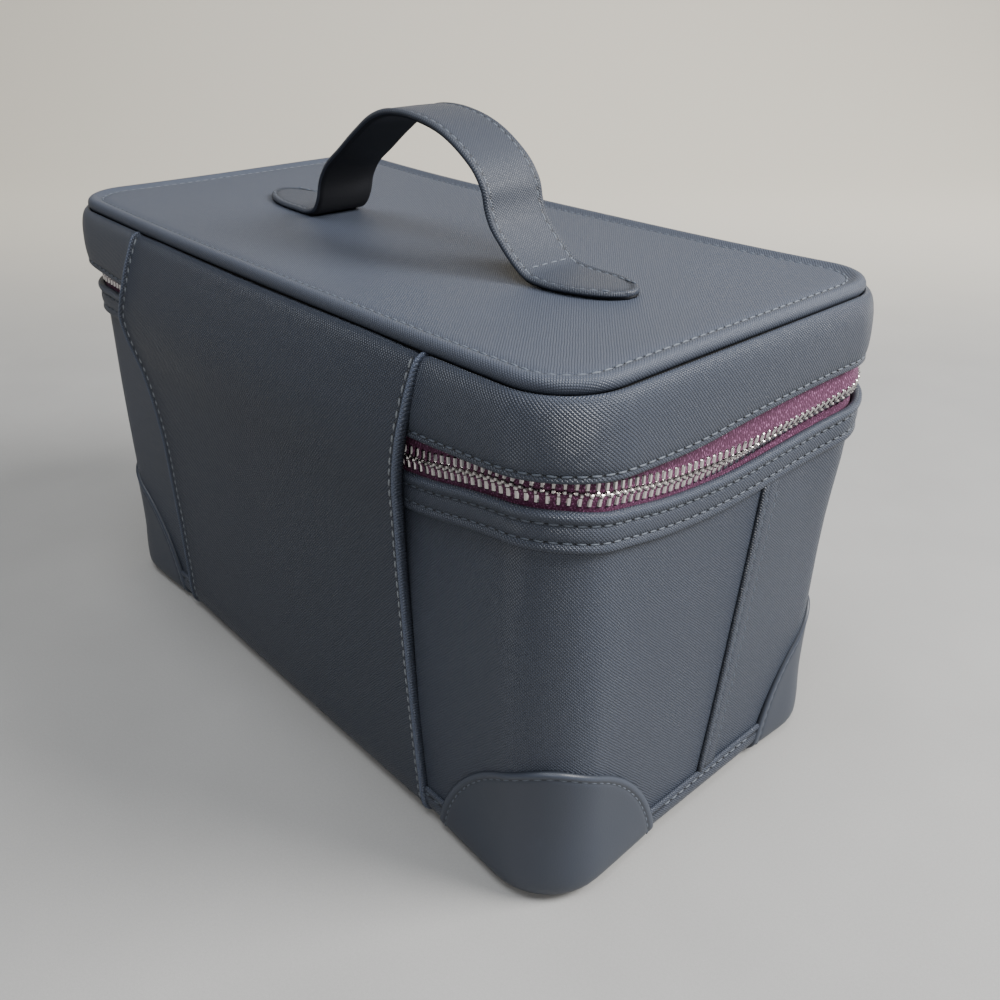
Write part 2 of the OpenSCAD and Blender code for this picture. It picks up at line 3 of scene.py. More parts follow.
import bmesh
import bpy
import numpy as np
from mathutils import Matrix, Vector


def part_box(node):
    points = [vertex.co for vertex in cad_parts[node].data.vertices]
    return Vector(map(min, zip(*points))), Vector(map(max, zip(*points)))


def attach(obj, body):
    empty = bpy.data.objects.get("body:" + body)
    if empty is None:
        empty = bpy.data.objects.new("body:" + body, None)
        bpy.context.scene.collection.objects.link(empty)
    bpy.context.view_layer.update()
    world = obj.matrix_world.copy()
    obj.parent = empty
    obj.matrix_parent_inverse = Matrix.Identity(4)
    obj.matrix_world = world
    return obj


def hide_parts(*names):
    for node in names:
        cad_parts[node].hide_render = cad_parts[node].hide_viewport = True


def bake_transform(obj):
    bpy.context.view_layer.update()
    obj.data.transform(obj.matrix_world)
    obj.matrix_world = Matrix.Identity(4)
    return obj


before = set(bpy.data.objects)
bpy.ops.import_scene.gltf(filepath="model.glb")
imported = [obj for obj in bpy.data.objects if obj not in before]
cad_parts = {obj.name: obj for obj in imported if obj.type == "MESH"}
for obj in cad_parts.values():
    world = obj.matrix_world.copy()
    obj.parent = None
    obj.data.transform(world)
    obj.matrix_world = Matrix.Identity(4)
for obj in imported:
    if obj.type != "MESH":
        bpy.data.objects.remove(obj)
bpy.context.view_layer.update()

# Sizes in metres. X runs along the case, Z is up, the hinge panel is at +Y.
MM = 0.001
HALF_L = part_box("front_cover")[1][0]
HALF_W = -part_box("front_cover")[0][1]
CORNER_R = 22 * MM
RUN_L = HALF_L - CORNER_R
RUN_W = HALF_W - CORNER_R
RIM_FOOT_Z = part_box("rim_band")[0][2]
CHAIN_Z = (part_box("zip_teeth_lower")[1][2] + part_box("zip_teeth_upper")[0][2]) / 2
HEM_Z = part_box("lid_wall_cover")[0][2]
WALL_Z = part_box("lid_wall_cover")[1][2]
LID_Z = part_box("lid_piping")[1][2]
TRIM_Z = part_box("base_trim_front")[1][2]
PANEL_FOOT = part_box("hinge_panel_lower")[1][0]
PANEL_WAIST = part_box("hinge_fold")[1][0]
TAPE_END_X = 72.5 * MM


def smooth(x, low, high):
    """0 before low, 1 after high, and a soft step between them."""
    t = np.clip((np.asarray(x, float) - low) / (high - low), 0, 1)
    return t * t * (3 - 2 * t)


def through(knots, x):
    """A soft line through given knots."""
    xs = np.array([k[0] for k in knots], float)
    ys = np.array([k[1] for k in knots], float)
    lean = np.gradient(ys, xs)
    x = np.clip(np.asarray(x, float), xs[0], xs[-1])
    i = np.clip(np.searchsorted(xs, x) - 1, 0, len(xs) - 2)
    width = xs[i + 1] - xs[i]
    t = (x - xs[i]) / width
    start = ys[i] * (1 + 2 * t) * (1 - t) ** 2 + lean[i] * width * t * (1 - t) ** 2
    end = ys[i + 1] * t * t * (3 - 2 * t) - lean[i + 1] * width * t * t * (1 - t)
    return start + end


# The plan of the case is a rounded rectangle, walked from the middle of the back by the left end.
ARC = CORNER_R * math.pi / 2
LEGS = [RUN_L, ARC, 2 * RUN_W, ARC, 2 * RUN_L, ARC, 2 * RUN_W, ARC, RUN_L]
LEG_STEPS = [22, 14, 19, 14, 44, 14, 19, 14, 22]
BREAK_S = np.concatenate([[0], np.cumsum(LEGS)])
BREAK_X = np.array([0, -1, -1, -1, -1, 1, 1, 1, 1, 0]) * RUN_L
BREAK_Y = np.array([1, 1, 1, -1, -1, -1, -1, 1, 1, 1]) * RUN_W
BREAK_A = np.radians([90, 90, 180, 180, 270, 270, 360, 360, 450, 450])
AROUND = BREAK_S[-1]
TIGHT_R = 3 * MM


def plan(s, u):
    """Places u outside the case's plan at the distance s along it, with their outward directions."""
    s, u = np.broadcast_arrays(np.asarray(s, float), np.asarray(u, float))
    angle = np.interp(s, BREAK_S, BREAK_A)
    shrink = np.clip(TIGHT_R - (CORNER_R + u), 0, RUN_W)
    radius = CORNER_R + u + shrink
    out = np.stack([np.cos(angle), np.sin(angle)], -1)
    x = np.interp(s, BREAK_S, BREAK_X) * (RUN_L - shrink) / RUN_L
    y = np.interp(s, BREAK_S, BREAK_Y) * (RUN_W - shrink) / RUN_W
    return np.stack([x, y], -1) + radius[..., None] * out, out


def stations(start=0.0, end=AROUND):
    """Steps along the plan, close together on the corners."""
    steps = [np.linspace(a, b, n, endpoint=False) for a, b, n in zip(BREAK_S, BREAK_S[1:], LEG_STEPS)]
    every = np.concatenate(steps)
    inside = every[(every > start + 1e-6) & (every < end - 1e-6)]
    return np.concatenate([[start], inside, [end]])


def from_back(s):
    """Distance along the plan from the middle of the back, the shorter way round."""
    return AROUND / 2 - np.abs(np.mod(s, AROUND) - AROUND / 2)


# How the rim and the zip hang, bulge and lean, and how the hem waves, by the distance along each half of
# the plan from the middle of the back. Millimetres, and degrees for the lean.
LEFT_DIP = [
    (0, -7.2), (84, -7.2), (98, -5.4), (112, -2.4), (130, 0.6), (146, 1.2), (160, -1.0), (185, -5.6),
    (212, -7.6), (241, -6.4), (278, -3.6), (298, -0.8), (311, 0), (318, 0), (440, 0),
]
RIGHT_DIP = [
    (0, 0.8), (100, 0.8), (150, 1.6), (200, -1.5), (250, -2.5), (296, -0.6), (311, 0), (318, 0),
    (440, 0),
]
RIM_BULGE = [
    (0, 0), (230, 0), (262, 0.8), (284, 2.6), (295, 2.3), (304, 0.7), (311, 0), (318, 0), (440, 0),
]
CHAIN_LEAN = [
    (0, 0), (190, 0), (208, 5), (226, 16), (245, 27), (268, 28), (286, 17), (300, 6), (312, 0),
    (440, 0),
]
HEM_WAVE = [
    (0, -2), (97, -2), (118, -0.5), (143, 1.4), (170, -0.2), (192, -1), (215, 0.2), (267, 1.2),
    (300, 0.4), (330, 0), (430, 0),
]

# How far the top sinks and the walls puff, and where the rim's dip, the hem and the chain's lean fade.
SAG_EDGE = 1.7 * MM
SAG_TILT = 0.5 * MM
SAG_MIDDLE = 2.6 * MM
WALL_PUFF = 0.8 * MM
DIP_FROM_Z = 70 * MM
HEM_TOP_Z = HEM_Z + 6 * MM
CHAIN_HALF = 3.5 * MM
TAPE_HALF = 7 * MM


def rim_dip(s):
    """How far the rim and the zip lie above their level."""
    half = from_back(s) / MM
    left = np.mod(s, AROUND) < AROUND / 2
    return np.where(left, through(LEFT_DIP, half), through(RIGHT_DIP, half)) * MM


def rim_bulge(s):
    """How far the soft rim leans out at the front corners."""
    return through(RIM_BULGE, from_back(s) / MM) * MM


def hem_wave(s):
    """How far the lid's hem lies above its level."""
    return through(HEM_WAVE, from_back(s) / MM) * MM


def top_sag(x, y):
    """How far the lid's top lies below its corners."""
    along = 1 - np.abs(x / HALF_L) ** 3
    across = y / HALF_W
    return along * (SAG_EDGE - SAG_TILT * across + SAG_MIDDLE * np.clip(1 - across ** 2, 0, 1))


def case_settle(s, u, z):
    """How far a point of the body is pushed out, and how far it hangs."""
    full = np.sin(np.pi * np.clip(z / RIM_FOOT_Z, 0, 1)) * WALL_PUFF
    sides = np.sin(np.interp(s, BREAK_S, BREAK_A) * 2) ** 2
    high = smooth(z, DIP_FROM_Z, RIM_FOOT_Z)
    return full * (1 - sides) + rim_bulge(s) * high ** 2, rim_dip(s) * high


# Where the lid's wall starts and stops being tucked behind the hinge panel, and how far.
TUCK_LEFT = (-99 * MM, -92 * MM)
TUCK_RIGHT = (78 * MM, 85 * MM)
TUCK_IN = 1.6 * MM
TUCK_DOWN = 2.0 * MM


def behind_panel(s):
    """1 where the lid's wall lies behind the hinge panel."""
    along = np.where(s < AROUND / 2, -s, AROUND - s)
    return smooth(along, *TUCK_LEFT) * (1 - smooth(along, *TUCK_RIGHT))


def lid_settle(s, u, z):
    """How far a point of the lid's wall is pushed out, and how far it hangs."""
    xy, _ = plan(s, u)
    top = smooth(z, HEM_TOP_Z, WALL_Z)
    tuck = behind_panel(s) * top
    fall = hem_wave(s) * (1 - top) - top_sag(xy[..., 0], xy[..., 1]) * top
    return -TUCK_IN * tuck, fall - TUCK_DOWN * tuck


def chain_lean(s):
    """How far the zip's upper edge leans out along the ends of the case."""
    return np.radians(through(CHAIN_LEAN, from_back(s) / MM))


def lower_tape_settle(s, u, z):
    """The zip hangs with the rim, and turns about its chain where it leans."""
    dip = rim_dip(s)
    lean = chain_lean(s)
    above = z - CHAIN_Z
    turned = 1 - smooth(np.abs(above), CHAIN_HALF, TAPE_HALF)
    push = 0.5 * MM * smooth(-dip, 0, TAPE_HALF) + 0.8 * rim_bulge(s) + 0.8 * MM * np.sin(lean)
    return push + turned * above * np.sin(lean), dip + turned * above * (np.cos(lean) - 1)


def upper_tape_settle(s, u, z):
    """The upper tape follows the chain at its foot, and the lid at its top."""
    near = 1 - smooth(z, CHAIN_Z + 2 * MM, HEM_TOP_Z)
    du, dz = lower_tape_settle(s, u, z)
    return du * near, dz * near


def level(s, u, z):
    """No settling."""
    return 0 * z, 0 * z


# Mesh helpers.
WELD = 1e-6


def new_object(name, data):
    obj = bpy.data.objects.new(name, data)
    bpy.context.scene.collection.objects.link(obj)
    return obj


def make_plain(obj):
    """Turns what an object's modifiers make into its plain mesh."""
    graph = bpy.context.evaluated_depsgraph_get()
    mesh = bpy.data.meshes.new_from_object(obj.evaluated_get(graph))
    obj.modifiers.clear()
    obj.data = mesh


def grid_faces(n, m):
    """Faces between n rows of m points."""
    i, j = np.meshgrid(np.arange(n - 1), np.arange(m - 1), indexing="ij")
    first = (i * m + j).ravel()
    return np.stack([first, first + m, first + m + 1, first + 1], -1).tolist()


def add_mesh(name, points, faces, uv, material, shade_and_highlight=None, turned=False):
    """A smooth mesh with a UV map in metres. An optional per-point mark paints shade into folds, grooves
    and stitch lines, and below 0 paints highlights on rolled edges.
    """
    mesh = bpy.data.meshes.new(name)
    mesh.from_pydata(np.asarray(points, float).reshape(-1, 3).tolist(), [], faces)
    if shade_and_highlight is not None:
        amount = np.asarray(shade_and_highlight, np.float32).ravel()
        mesh.attributes.new("shade_and_highlight", "FLOAT", "POINT").data.foreach_set("value", amount)
    flat = np.asarray(uv, np.float32).reshape(-1, 2)
    corner = np.zeros(len(mesh.loops), int)
    mesh.loops.foreach_get("vertex_index", corner)
    mesh.uv_layers.new(name="grain").data.foreach_set("uv", flat[corner].ravel())
    shape = bmesh.new()
    shape.from_mesh(mesh)
    bmesh.ops.remove_doubles(shape, verts=shape.verts, dist=WELD)
    bmesh.ops.dissolve_degenerate(shape, edges=shape.edges, dist=WELD)
    if turned:
        bmesh.ops.reverse_faces(shape, faces=shape.faces)
    for face in shape.faces:
        face.smooth = True
    shape.to_mesh(mesh)
    shape.free()
    mesh.materials.append(material)
    return new_object(name, mesh)


def add_grid(name, points, uv, material, shade_and_highlight=None, caps=False, turned=False):
    """A mesh from rows of points, its first and last row filled by caps."""
    n, m = points.shape[:2]
    if shade_and_highlight is not None:
        shade_and_highlight = np.broadcast_to(shade_and_highlight, (n, m))
    faces = grid_faces(n, m)
    if caps:
        faces.append(list(range(m - 1)))
        faces.append([(n - 1) * m + j for j in reversed(range(m - 1))])
    return add_mesh(name, points, faces, uv, material, shade_and_highlight, turned)


def lengths(line):
    """Distance along a row of points."""
    step = np.linalg.norm(np.diff(line, axis=0), axis=1)
    return np.concatenate([[0], np.cumsum(step)])


def follow(line, want):
    """Both values of a soft line through knots, at wanted distances along it."""
    marks = lengths(line)
    return np.array([through(list(zip(marks, values)), want) for values in line.T])


def thicken(obj, depth):
    """Gives a sheet its thickness, behind its face."""
    solid = obj.modifiers.new("thickness", "SOLIDIFY")
    solid.thickness = depth
    solid.offset = -1
    make_plain(obj)


def read_profile(profile):
    """A profile's line in metres, and its marks of painted shade and highlight."""
    line = np.array([p[:2] for p in profile], float) * MM
    return line, np.array([p[2] if len(p) > 2 else 0 for p in profile], float)


def carried(line, s):
    """The distance along the plan, u and z of every point of a line, at every step."""
    shape = (len(s), len(line))
    return [np.broadcast_to(values, shape) for values in (s[:, None], line[:, 0], line[:, 1])]


def at_height(xy, z):
    """Points from places in the plan and their heights."""
    return np.concatenate([xy, z[..., None]], -1)


def ring(name, profile, settle, material, start=0.0, end=AROUND, shear=None):
    """A closed profile of (u, z, mark) in millimetres, carried round the plan. The mark paints shade, and
    below 0 a highlight.
    """
    line, shade_and_highlight = read_profile(profile + profile[:1])
    s = stations(start, end)
    s_all, u, z = carried(line, s)
    if shear is not None:
        s_all = shear(s_all, z)
    du, dz = settle(s_all, u, z)
    xy, _ = plan(s_all, u + du)
    uv = np.stack([s_all, np.broadcast_to(lengths(line), s_all.shape)], -1)
    whole = start == 0.0 and end == AROUND
    return add_grid(name, at_height(xy, z + dz), uv, material, shade_and_highlight[None, :], caps=not whole)


def cap(name, rows, material, height, turned=False):
    """A sheet that fills the plan, from rows of (u, z, mark) in millimetres, from the edge inwards. The
    mark paints shade, and below 0 a highlight.
    """
    line, shade_and_highlight = read_profile(rows)
    s = stations()
    inward = line[::-1]
    flat_u = (inward[0, 0] + lengths(inward))[::-1]
    s_all, u, z = carried(line, s)
    xy, _ = plan(s_all, u)
    z = z + height(xy[..., 0], xy[..., 1])
    flat, _ = plan(s_all, flat_u)
    return add_grid(name, at_height(xy, z), flat, material, shade_and_highlight[None, :], turned=turned)


# Stitch rows are collected here by the piece that carries them, and sewn at the end.
sewn = {}


def flat_lie(out):
    """Level directions in space from directions in the plan."""
    return np.concatenate([out, np.zeros((len(out), 1))], -1)


def sew(owner, points, out):
    sewn.setdefault(owner, []).append((np.asarray(points, float), np.asarray(out, float)))


def sew_ring(owner, u, z, settle, start, end):
    """A row of stitches along the plan, at (u, z) in millimetres."""
    s = stations(start, end)
    u_all = np.full(len(s), u * MM)
    z_all = np.full(len(s), z * MM)
    du, dz = settle(s, u_all, z_all)
    xy, out = plan(s, u_all + du)
    points = at_height(xy, z_all + dz)
    sew(owner, points, flat_lie(out))


# Materials.
def set_inputs(tree, node, inputs):
    """Links each named input to a socket, or sets it to a value."""
    for name, value in inputs.items():
        if isinstance(value, bpy.types.NodeSocket):
            tree.links.new(value, node.inputs[name])
        else:
            node.inputs[name].default_value = value


def add_node(tree, kind, inputs, **settings):
    """Adds a node, and gives its outputs."""
    node = tree.nodes.new(kind)
    for name, value in settings.items():
        setattr(node, name, value)
    set_inputs(tree, node, inputs)
    return node.outputs


def maths(tree, operation, a, b=0.0, c=0.0):
    return add_node(tree, "ShaderNodeMath", {0: a, 1: b, 2: c}, operation=operation)[0]


def scaled(tree, value, times, plus=0.0):
    return maths(tree, "MULTIPLY_ADD", value, times, plus)


def blend_colour(tree, amount, a, b):
    return add_node(tree, "ShaderNodeMix", {"Factor": amount, 6: a, 7: b}, data_type="RGBA")[2]


def dot(tree, vector, direction):
    inputs = {0: vector, 1: direction}
    return add_node(tree, "ShaderNodeVectorMath", inputs, operation="DOT_PRODUCT")["Value"]


def noise(tree, vector, scale, detail=2.0, rough=0.5):
    inputs = {"Vector": vector, "Scale": scale, "Detail": detail, "Roughness": rough}
    return add_node(tree, "ShaderNodeTexNoise", inputs)["Fac"]


def remap(tree, value, low, high, kind="LINEAR"):
    """0 at low and 1 at high."""
    inputs = {"Value": value, "From Min": low, "From Max": high}
    return add_node(tree, "ShaderNodeMapRange", inputs, interpolation_type=kind)["Result"]


def bump(tree, height, strength, distance):
    inputs = {"Strength": strength, "Distance": distance, "Height": height}
    return add_node(tree, "ShaderNodeBump", inputs)["Normal"]


def new_group(name, inputs, outputs):
    tree = bpy.data.node_groups.new(name, "ShaderNodeTree")
    for label, kind, value in inputs:
        made = tree.interface.new_socket(label, in_out="INPUT", socket_type=kind)
        if value is not None:
            made.default_value = value
    for label in outputs:
        tree.interface.new_socket(label, in_out="OUTPUT", socket_type="NodeSocketFloat")
    return tree, tree.nodes.new("NodeGroupInput").outputs, tree.nodes.new("NodeGroupOutput").inputs


HATCH_TURN = math.radians(47)
PLACE = ("Place", "NodeSocketVector", None)


def hatch_group():
    """Crossed diagonal lines pressed into leatherette."""
    inputs = [PLACE, ("Pitch", "NodeSocketFloat", 0.8 * MM)]
    tree, given, result = new_group("Pressed hatch", inputs, ["Height", "Groove"])
    waver = maths(tree, "SUBTRACT", noise(tree, given["Place"], 160, 1.0), 0.5)
    patchy = noise(tree, given["Place"], 420, 1.0)
    grooves = []
    for side in (1, -1):
        across = dot(tree, given["Place"], (math.sin(HATCH_TURN), side * math.cos(HATCH_TURN), 0))
        turns = maths(tree, "DIVIDE", across, given["Pitch"])
        turns = scaled(tree, waver, 0.6, turns)
        wave = maths(tree, "COSINE", scaled(tree, turns, 2 * math.pi))
        wave = scaled(tree, wave, 0.5, 0.5)
        grooves.append(maths(tree, "POWER", wave, 1.6))
    second = scaled(tree, grooves[1], scaled(tree, patchy, 0.6, 0.5))
    groove = maths(tree, "MAXIMUM", grooves[0], second)
    tree.links.new(groove, result["Groove"])
    tree.links.new(maths(tree, "SUBTRACT", 1.0, groove), result["Height"])
    return tree


def tone_group():
    """Slow changes of tone, and small rubbed spots, over a surface."""
    tree, given, result = new_group("Tone and rub", [PLACE], ["Tone", "Rub"])
    slow = noise(tree, given["Place"], 14, 3.0, 0.55)
    fine = noise(tree, given["Place"], 900, 2.0)
    tone = scaled(tree, fine, 0.35, scaled(tree, slow, 0.65))
    tree.links.new(tone, result["Tone"])
    spots = noise(tree, given["Place"], 55, 4.0, 0.7)
    tree.links.new(remap(tree, spots, 0.56, 0.78, "SMOOTHSTEP"), result["Rub"])
    return tree


def weave_group():
    """Over-and-under threads of a woven tape or lining, and where painted glints fall on them."""
    inputs = [PLACE, ("Pitch", "NodeSocketFloat", 0.6 * MM)]
    tree, given, result = new_group("Woven threads", inputs, ["Height", "Glint"])
    waves = []
    for direction in ((1, 0.5, 0), (1, -0.5, 0), (0, 1, 0)):
        turns = maths(tree, "DIVIDE", dot(tree, given["Place"], direction), given["Pitch"])
        wave = maths(tree, "SINE", scaled(tree, turns, 2 * math.pi))
        waves.append(scaled(tree, wave, 0.5, 0.5))
    side = maths(tree, "GREATER_THAN", waves[2], 0.5)
    height = add_node(tree, "ShaderNodeMix", {"Factor": side, 2: waves[0], 3: waves[1]})[0]
    tree.links.new(height, result["Height"])
    # Sparse spots of painted glint, a highlight painted on the raised threads.
    painted_glints = remap(tree, noise(tree, given["Place"], 1700, 1.0), 0.5, 0.85)
    tree.links.new(scaled(tree, height, painted_glints), result["Glint"])
    return tree


HATCH = hatch_group()
TONE = tone_group()
WEAVE = weave_group()


def use_group(tree, group, place, **values):
    return add_node(tree, "ShaderNodeGroup", {"Place": place, **values}, node_tree=group)


def new_material(name):
    """A material, its tree, its shader, the place on its surface and the tone there."""
    material = bpy.data.materials.new(name)
    material.use_nodes = True
    tree = material.node_tree
    place = add_node(tree, "ShaderNodeTexCoord", {})["Object"]
    return material, tree, tree.nodes["Principled BSDF"], place, use_group(tree, TONE, place)


def grain_place(tree):
    """The place on a sheet's own UV map, so a pattern follows the sheet."""
    return add_node(tree, "ShaderNodeUVMap", {}, uv_map="grain")["UV"]


def mark(tree, name):
    """A value that a mesh keeps at its points."""
    return add_node(tree, "ShaderNodeAttribute", {}, attribute_name=name)["Fac"]


def colour(red, green, blue):
    return (red, green, blue, 1.0)


def shade(c, times):
    return (c[0] * times, c[1] * times, c[2] * times, 1.0)


def toned(tree, tone, base, low, high):
    """A colour that follows the slow tone, between two shades of its base."""
    return blend_colour(tree, tone["Tone"], shade(base, low), shade(base, high))


def paint_shade_and_highlight(tree, body, base):
    """Paints shade into the lines that stitches and folds pull in, and paints highlights on rolled edges.
    """
    shade_and_highlight = mark(tree, "shade_and_highlight")
    # Painted highlight: below 0 the mark blends towards a much lighter colour.
    highlight_amount = maths(tree, "MAXIMUM", scaled(tree, shade_and_highlight, -1.0), 0.0)
    light = blend_colour(tree, highlight_amount, body, shade(base, 2.4))
    # Painted shade: above 0 the mark blends towards a much darker colour.
    pressed = maths(tree, "MAXIMUM", scaled(tree, shade_and_highlight, 0.8), 0.0)
    return blend_colour(tree, pressed, light, shade(base, 0.16))


def leatherette(
    name, base, pitch=0.8 * MM, depth=0.26 * MM, contrast=0.72, rough=0.26, gloss=0.46, by_uv=True
):
    """Pressed leatherette: hatch with painted shade in its grooves, a slow change of tone and rubbed spots.
    """
    material, tree, surface, place, tone = new_material(name)
    hatch = use_group(tree, HATCH, grain_place(tree) if by_uv else place, Pitch=pitch)
    body = toned(tree, tone, base, 1.0, 1.3)
    rubbed = blend_colour(tree, scaled(tree, tone["Rub"], 0.25), body, shade(base, 1.5))
    # Painted shade: the hatch's grooves are darkened in the colour.
    lines = scaled(tree, hatch["Groove"], contrast)
    lined = blend_colour(tree, lines, rubbed, shade(base, 0.42))
    dull = scaled(tree, hatch["Groove"], 0.22, rough)
    set_inputs(tree, surface, {
        "Base Color": paint_shade_and_highlight(tree, lined, base),
        "Roughness": scaled(tree, tone["Tone"], 0.1, dull),
        "Specular IOR Level": gloss,
        "Normal": bump(tree, hatch["Height"], 1.0, depth),
    })
    return material


def smooth_leather(name, base, rough=0.45, gloss=0.38):
    """Leatherette with only a fine pore."""
    material, tree, surface, place, tone = new_material(name)
    pores = add_node(tree, "ShaderNodeTexVoronoi", {"Vector": place, "Scale": 1600})["Distance"]
    body = toned(tree, tone, base, 0.88, 1.12)
    rubbed = blend_colour(tree, scaled(tree, tone["Rub"], 0.3), body, shade(base, 1.3))
    set_inputs(tree, surface, {
        "Base Color": paint_shade_and_highlight(tree, rubbed, base),
        "Roughness": scaled(tree, tone["Tone"], 0.16, rough - 0.08),
        "Specular IOR Level": gloss,
        "Normal": bump(tree, pores, 0.5, 0.04 * MM),
    })
    return material


def woven(name, base, light, pitch, sheen=0.2):
    """Cloth or tape with painted glints, highlights painted on its threads."""
    material, tree, surface, _, tone = new_material(name)
    weave = use_group(tree, WEAVE, grain_place(tree), Pitch=pitch)
    body = toned(tree, tone, base, 0.8, 1.2)
    set_inputs(tree, surface, {
        "Base Color": blend_colour(tree, weave["Glint"], body, light),
        "Roughness": 0.75,
        "Sheen Weight": sheen,
        "Normal": bump(tree, weave["Height"], 0.7, 0.12 * MM),
    })
    return material


def metal(name, base, rough):
    material, tree, surface, _, tone = new_material(name)
    set_inputs(tree, surface, {
        "Base Color": toned(tree, tone, base, 0.8, 1.0),
        "Metallic": 1.0,
        "Roughness": scaled(tree, tone["Tone"], 0.14, rough),
    })
    return material


def sewing_thread(name, base):
    """Thread with painted shade where it dives into the leather."""
    material, tree, surface, _, tone = new_material(name)
    body = toned(tree, tone, base, 0.75, 1.25)
    set_inputs(tree, surface, {
        "Base Color": blend_colour(tree, mark(tree, "dive_shade"), body, shade(base, 0.06)),
        "Roughness": 0.6,
    })
    return material


def fibre(name, base, rough=0.85):
    """Board, foam or floor: a matt tone with fine flecks."""
    material, tree, surface, place, tone = new_material(name)
    flecks = noise(tree, place, 2500, 2.0)
    body = toned(tree, tone, base, 0.8, 1.15)
    set_inputs(tree, surface, {
        "Base Color": blend_colour(tree, scaled(tree, flecks, 0.5), body, shade(base, 0.6)),
        "Roughness": rough,
        "Normal": bump(tree, flecks, 0.4, 0.1 * MM),
    })
    return material


SLATE = colour(0.0418, 0.0512, 0.0745)
hatched = leatherette("slate hatched leatherette", SLATE)
hatched_top = leatherette("slate top leatherette", SLATE, 0.75 * MM, 0.15 * MM, contrast=0.5, rough=0.36)
hatched_strap = leatherette("slate strap leatherette", shade(SLATE, 0.77), 0.75 * MM, 0.12 * MM, rough=0.34)
hatched_panel = leatherette("slate panel leatherette", shade(SLATE, 0.86), gloss=0.38)
hatched_solid = leatherette("slate leatherette on boards", SLATE, by_uv=False)
plain = smooth_leather("smooth slate leatherette", colour(0.0305, 0.037, 0.0525))
# The strap's underside: a darker leather whose near-black colour is also painted shade, as it faces down
# and lies in shadow.
dark = smooth_leather("dark strap underside", colour(0.012, 0.0125, 0.015), rough=0.6, gloss=0.2)
tape = woven("plum zip tape", colour(0.062, 0.006, 0.038), colour(0.58, 0.25, 0.48), 1.1 * MM, sheen=0.05)
lining = woven("plum lining", colour(0.045, 0.0075, 0.031), colour(0.12, 0.037, 0.09), 0.7 * MM)
binding = woven("slate binding tape", colour(0.035, 0.039, 0.048), colour(0.085, 0.092, 0.106), 0.9 * MM)
silver = metal("bright zip metal", colour(0.64, 0.605, 0.595), 0.08)
thread = sewing_thread("slate thread", colour(0.077, 0.092, 0.119))
# A lighter copy of the thread for the hinge panel: its paleness is a painted highlight, for stitches beside
# the panel's lit rolled edges.
highlighted_thread = sewing_thread("pale slate thread", colour(0.165, 0.18, 0.2))
board = fibre("fibre board", colour(0.2, 0.16, 0.11))
# The lid top's board is black so that where its edge shows in the groove under the roll it stands in for
# shade: painted shade.
groove_shade_board = fibre("black fibre board", colour(0.006, 0.006, 0.007))
foam = fibre("charcoal foam", colour(0.03, 0.031, 0.035))


# Body of the case.
END_MID_S = BREAK_S[2] + RUN_W
RIGHT_MID_S = AROUND - END_MID_S
SEAM_BACK = 1 * MM
SEAM_LEAN = 17 * MM
STRIP_MIDDLE = 4.5 * MM
LEAN_FADE = 60 * MM


def seam_s(z):
    """Where the leaning seam on the left end lies, at a height."""
    return END_MID_S - SEAM_BACK + SEAM_LEAN * z / RIM_FOOT_Z + STRIP_MIDDLE


def lean_edges(s, z):
    """Leans the seam ends of a cover along the seam."""
    left = seam_s(z) - END_MID_S
    weight = 1 - smooth(np.abs(s - END_MID_S), 0, LEAN_FADE)
    mirrored = 1 - smooth(np.abs(s - RIGHT_MID_S), 0, LEAN_FADE)
    return s + left * weight - left * mirrored


COVER = [
    (-9, 2.4), (-4, 2.4), (-2, 3.2), (-0.7, 5), (-0.1, 8), (0, 14), (0, 26), (0, 40), (0, 55), (0, 70),
    (0, 85), (0, 100), (0, 112), (0, 124), (0, 136), (-0.1, 142), (-1, 142), (-1.1, 100), (-1.1, 40),
    (-1.1, 8), (-3, 3.6), (-9, 3.4),
]
REAR_END_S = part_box("rear_cover_right")[0][0]
front_cover = ring("front_body_cover", COVER, case_settle, hatched, END_MID_S, RIGHT_MID_S, lean_edges)
rear_left = ring("rear_left_body_cover", COVER, case_settle, hatched, REAR_END_S, END_MID_S, lean_edges)
rear_right = ring(
    "rear_right_body_cover", COVER, case_settle, hatched, RIGHT_MID_S, AROUND - REAR_END_S, lean_edges
)

RIM_ROWS = (138.4, 144.0)
RIM_STITCH_U = 1.5
SEW_INSET = 6 * MM
# Third values paint shade under the band's lower edge, along its two stitch rows and inside its top, and a
# faint highlight (below 0) on its top bead.
RIM = [
    (-0.4, 136.6, 1), (0.3, 135.6, 1), (1.1, 135.3, 0.4), (1.8, 135.6), (2.15, 136.3), (2.1, 137.1),
    (1.75, 137.9), (1.2, RIM_ROWS[0], 0.6), (1.75, 139), (2.0, 140), (2.05, 141.2), (2.0, 142.4),
    (1.75, 143.4), (1.2, RIM_ROWS[1], 0.6), (1.8, 144.6), (2.35, 145.4), (2.6, 146.3, -0.1),
    (2.5, 147.2, -0.2), (1.95, 147.9, -0.1), (1.2, 148.1), (0.3, 147.8), (-0.6, 147, 1), (-0.9, 145, 1),
    (-0.7, 140),
]
rim = ring("rim_band_sewn", RIM, case_settle, hatched, TAPE_END_X, AROUND - TAPE_END_X)
for row_z in RIM_ROWS:
    first_s = TAPE_END_X + SEW_INSET
    sew_ring("case", RIM_STITCH_U, row_z, case_settle, first_s, AROUND - first_s)

# The seam strip on each end leans towards the front at the top. Its section runs across the strip.
STRIP_ACROSS = np.array([-0.6, -0.45, 0.1, 0.9, 1.8, 2.6, 3.6, 6, 7.2, 8, 8.8, 9.3, 9.4]) * MM
STRIP_RISE = np.array([-0.2, 0.8, 1.3, 1.4, 1.2, 0.9, 1.15, 1.1, 1.0, 0.8, 0.9, 0.6, -0.2]) * MM
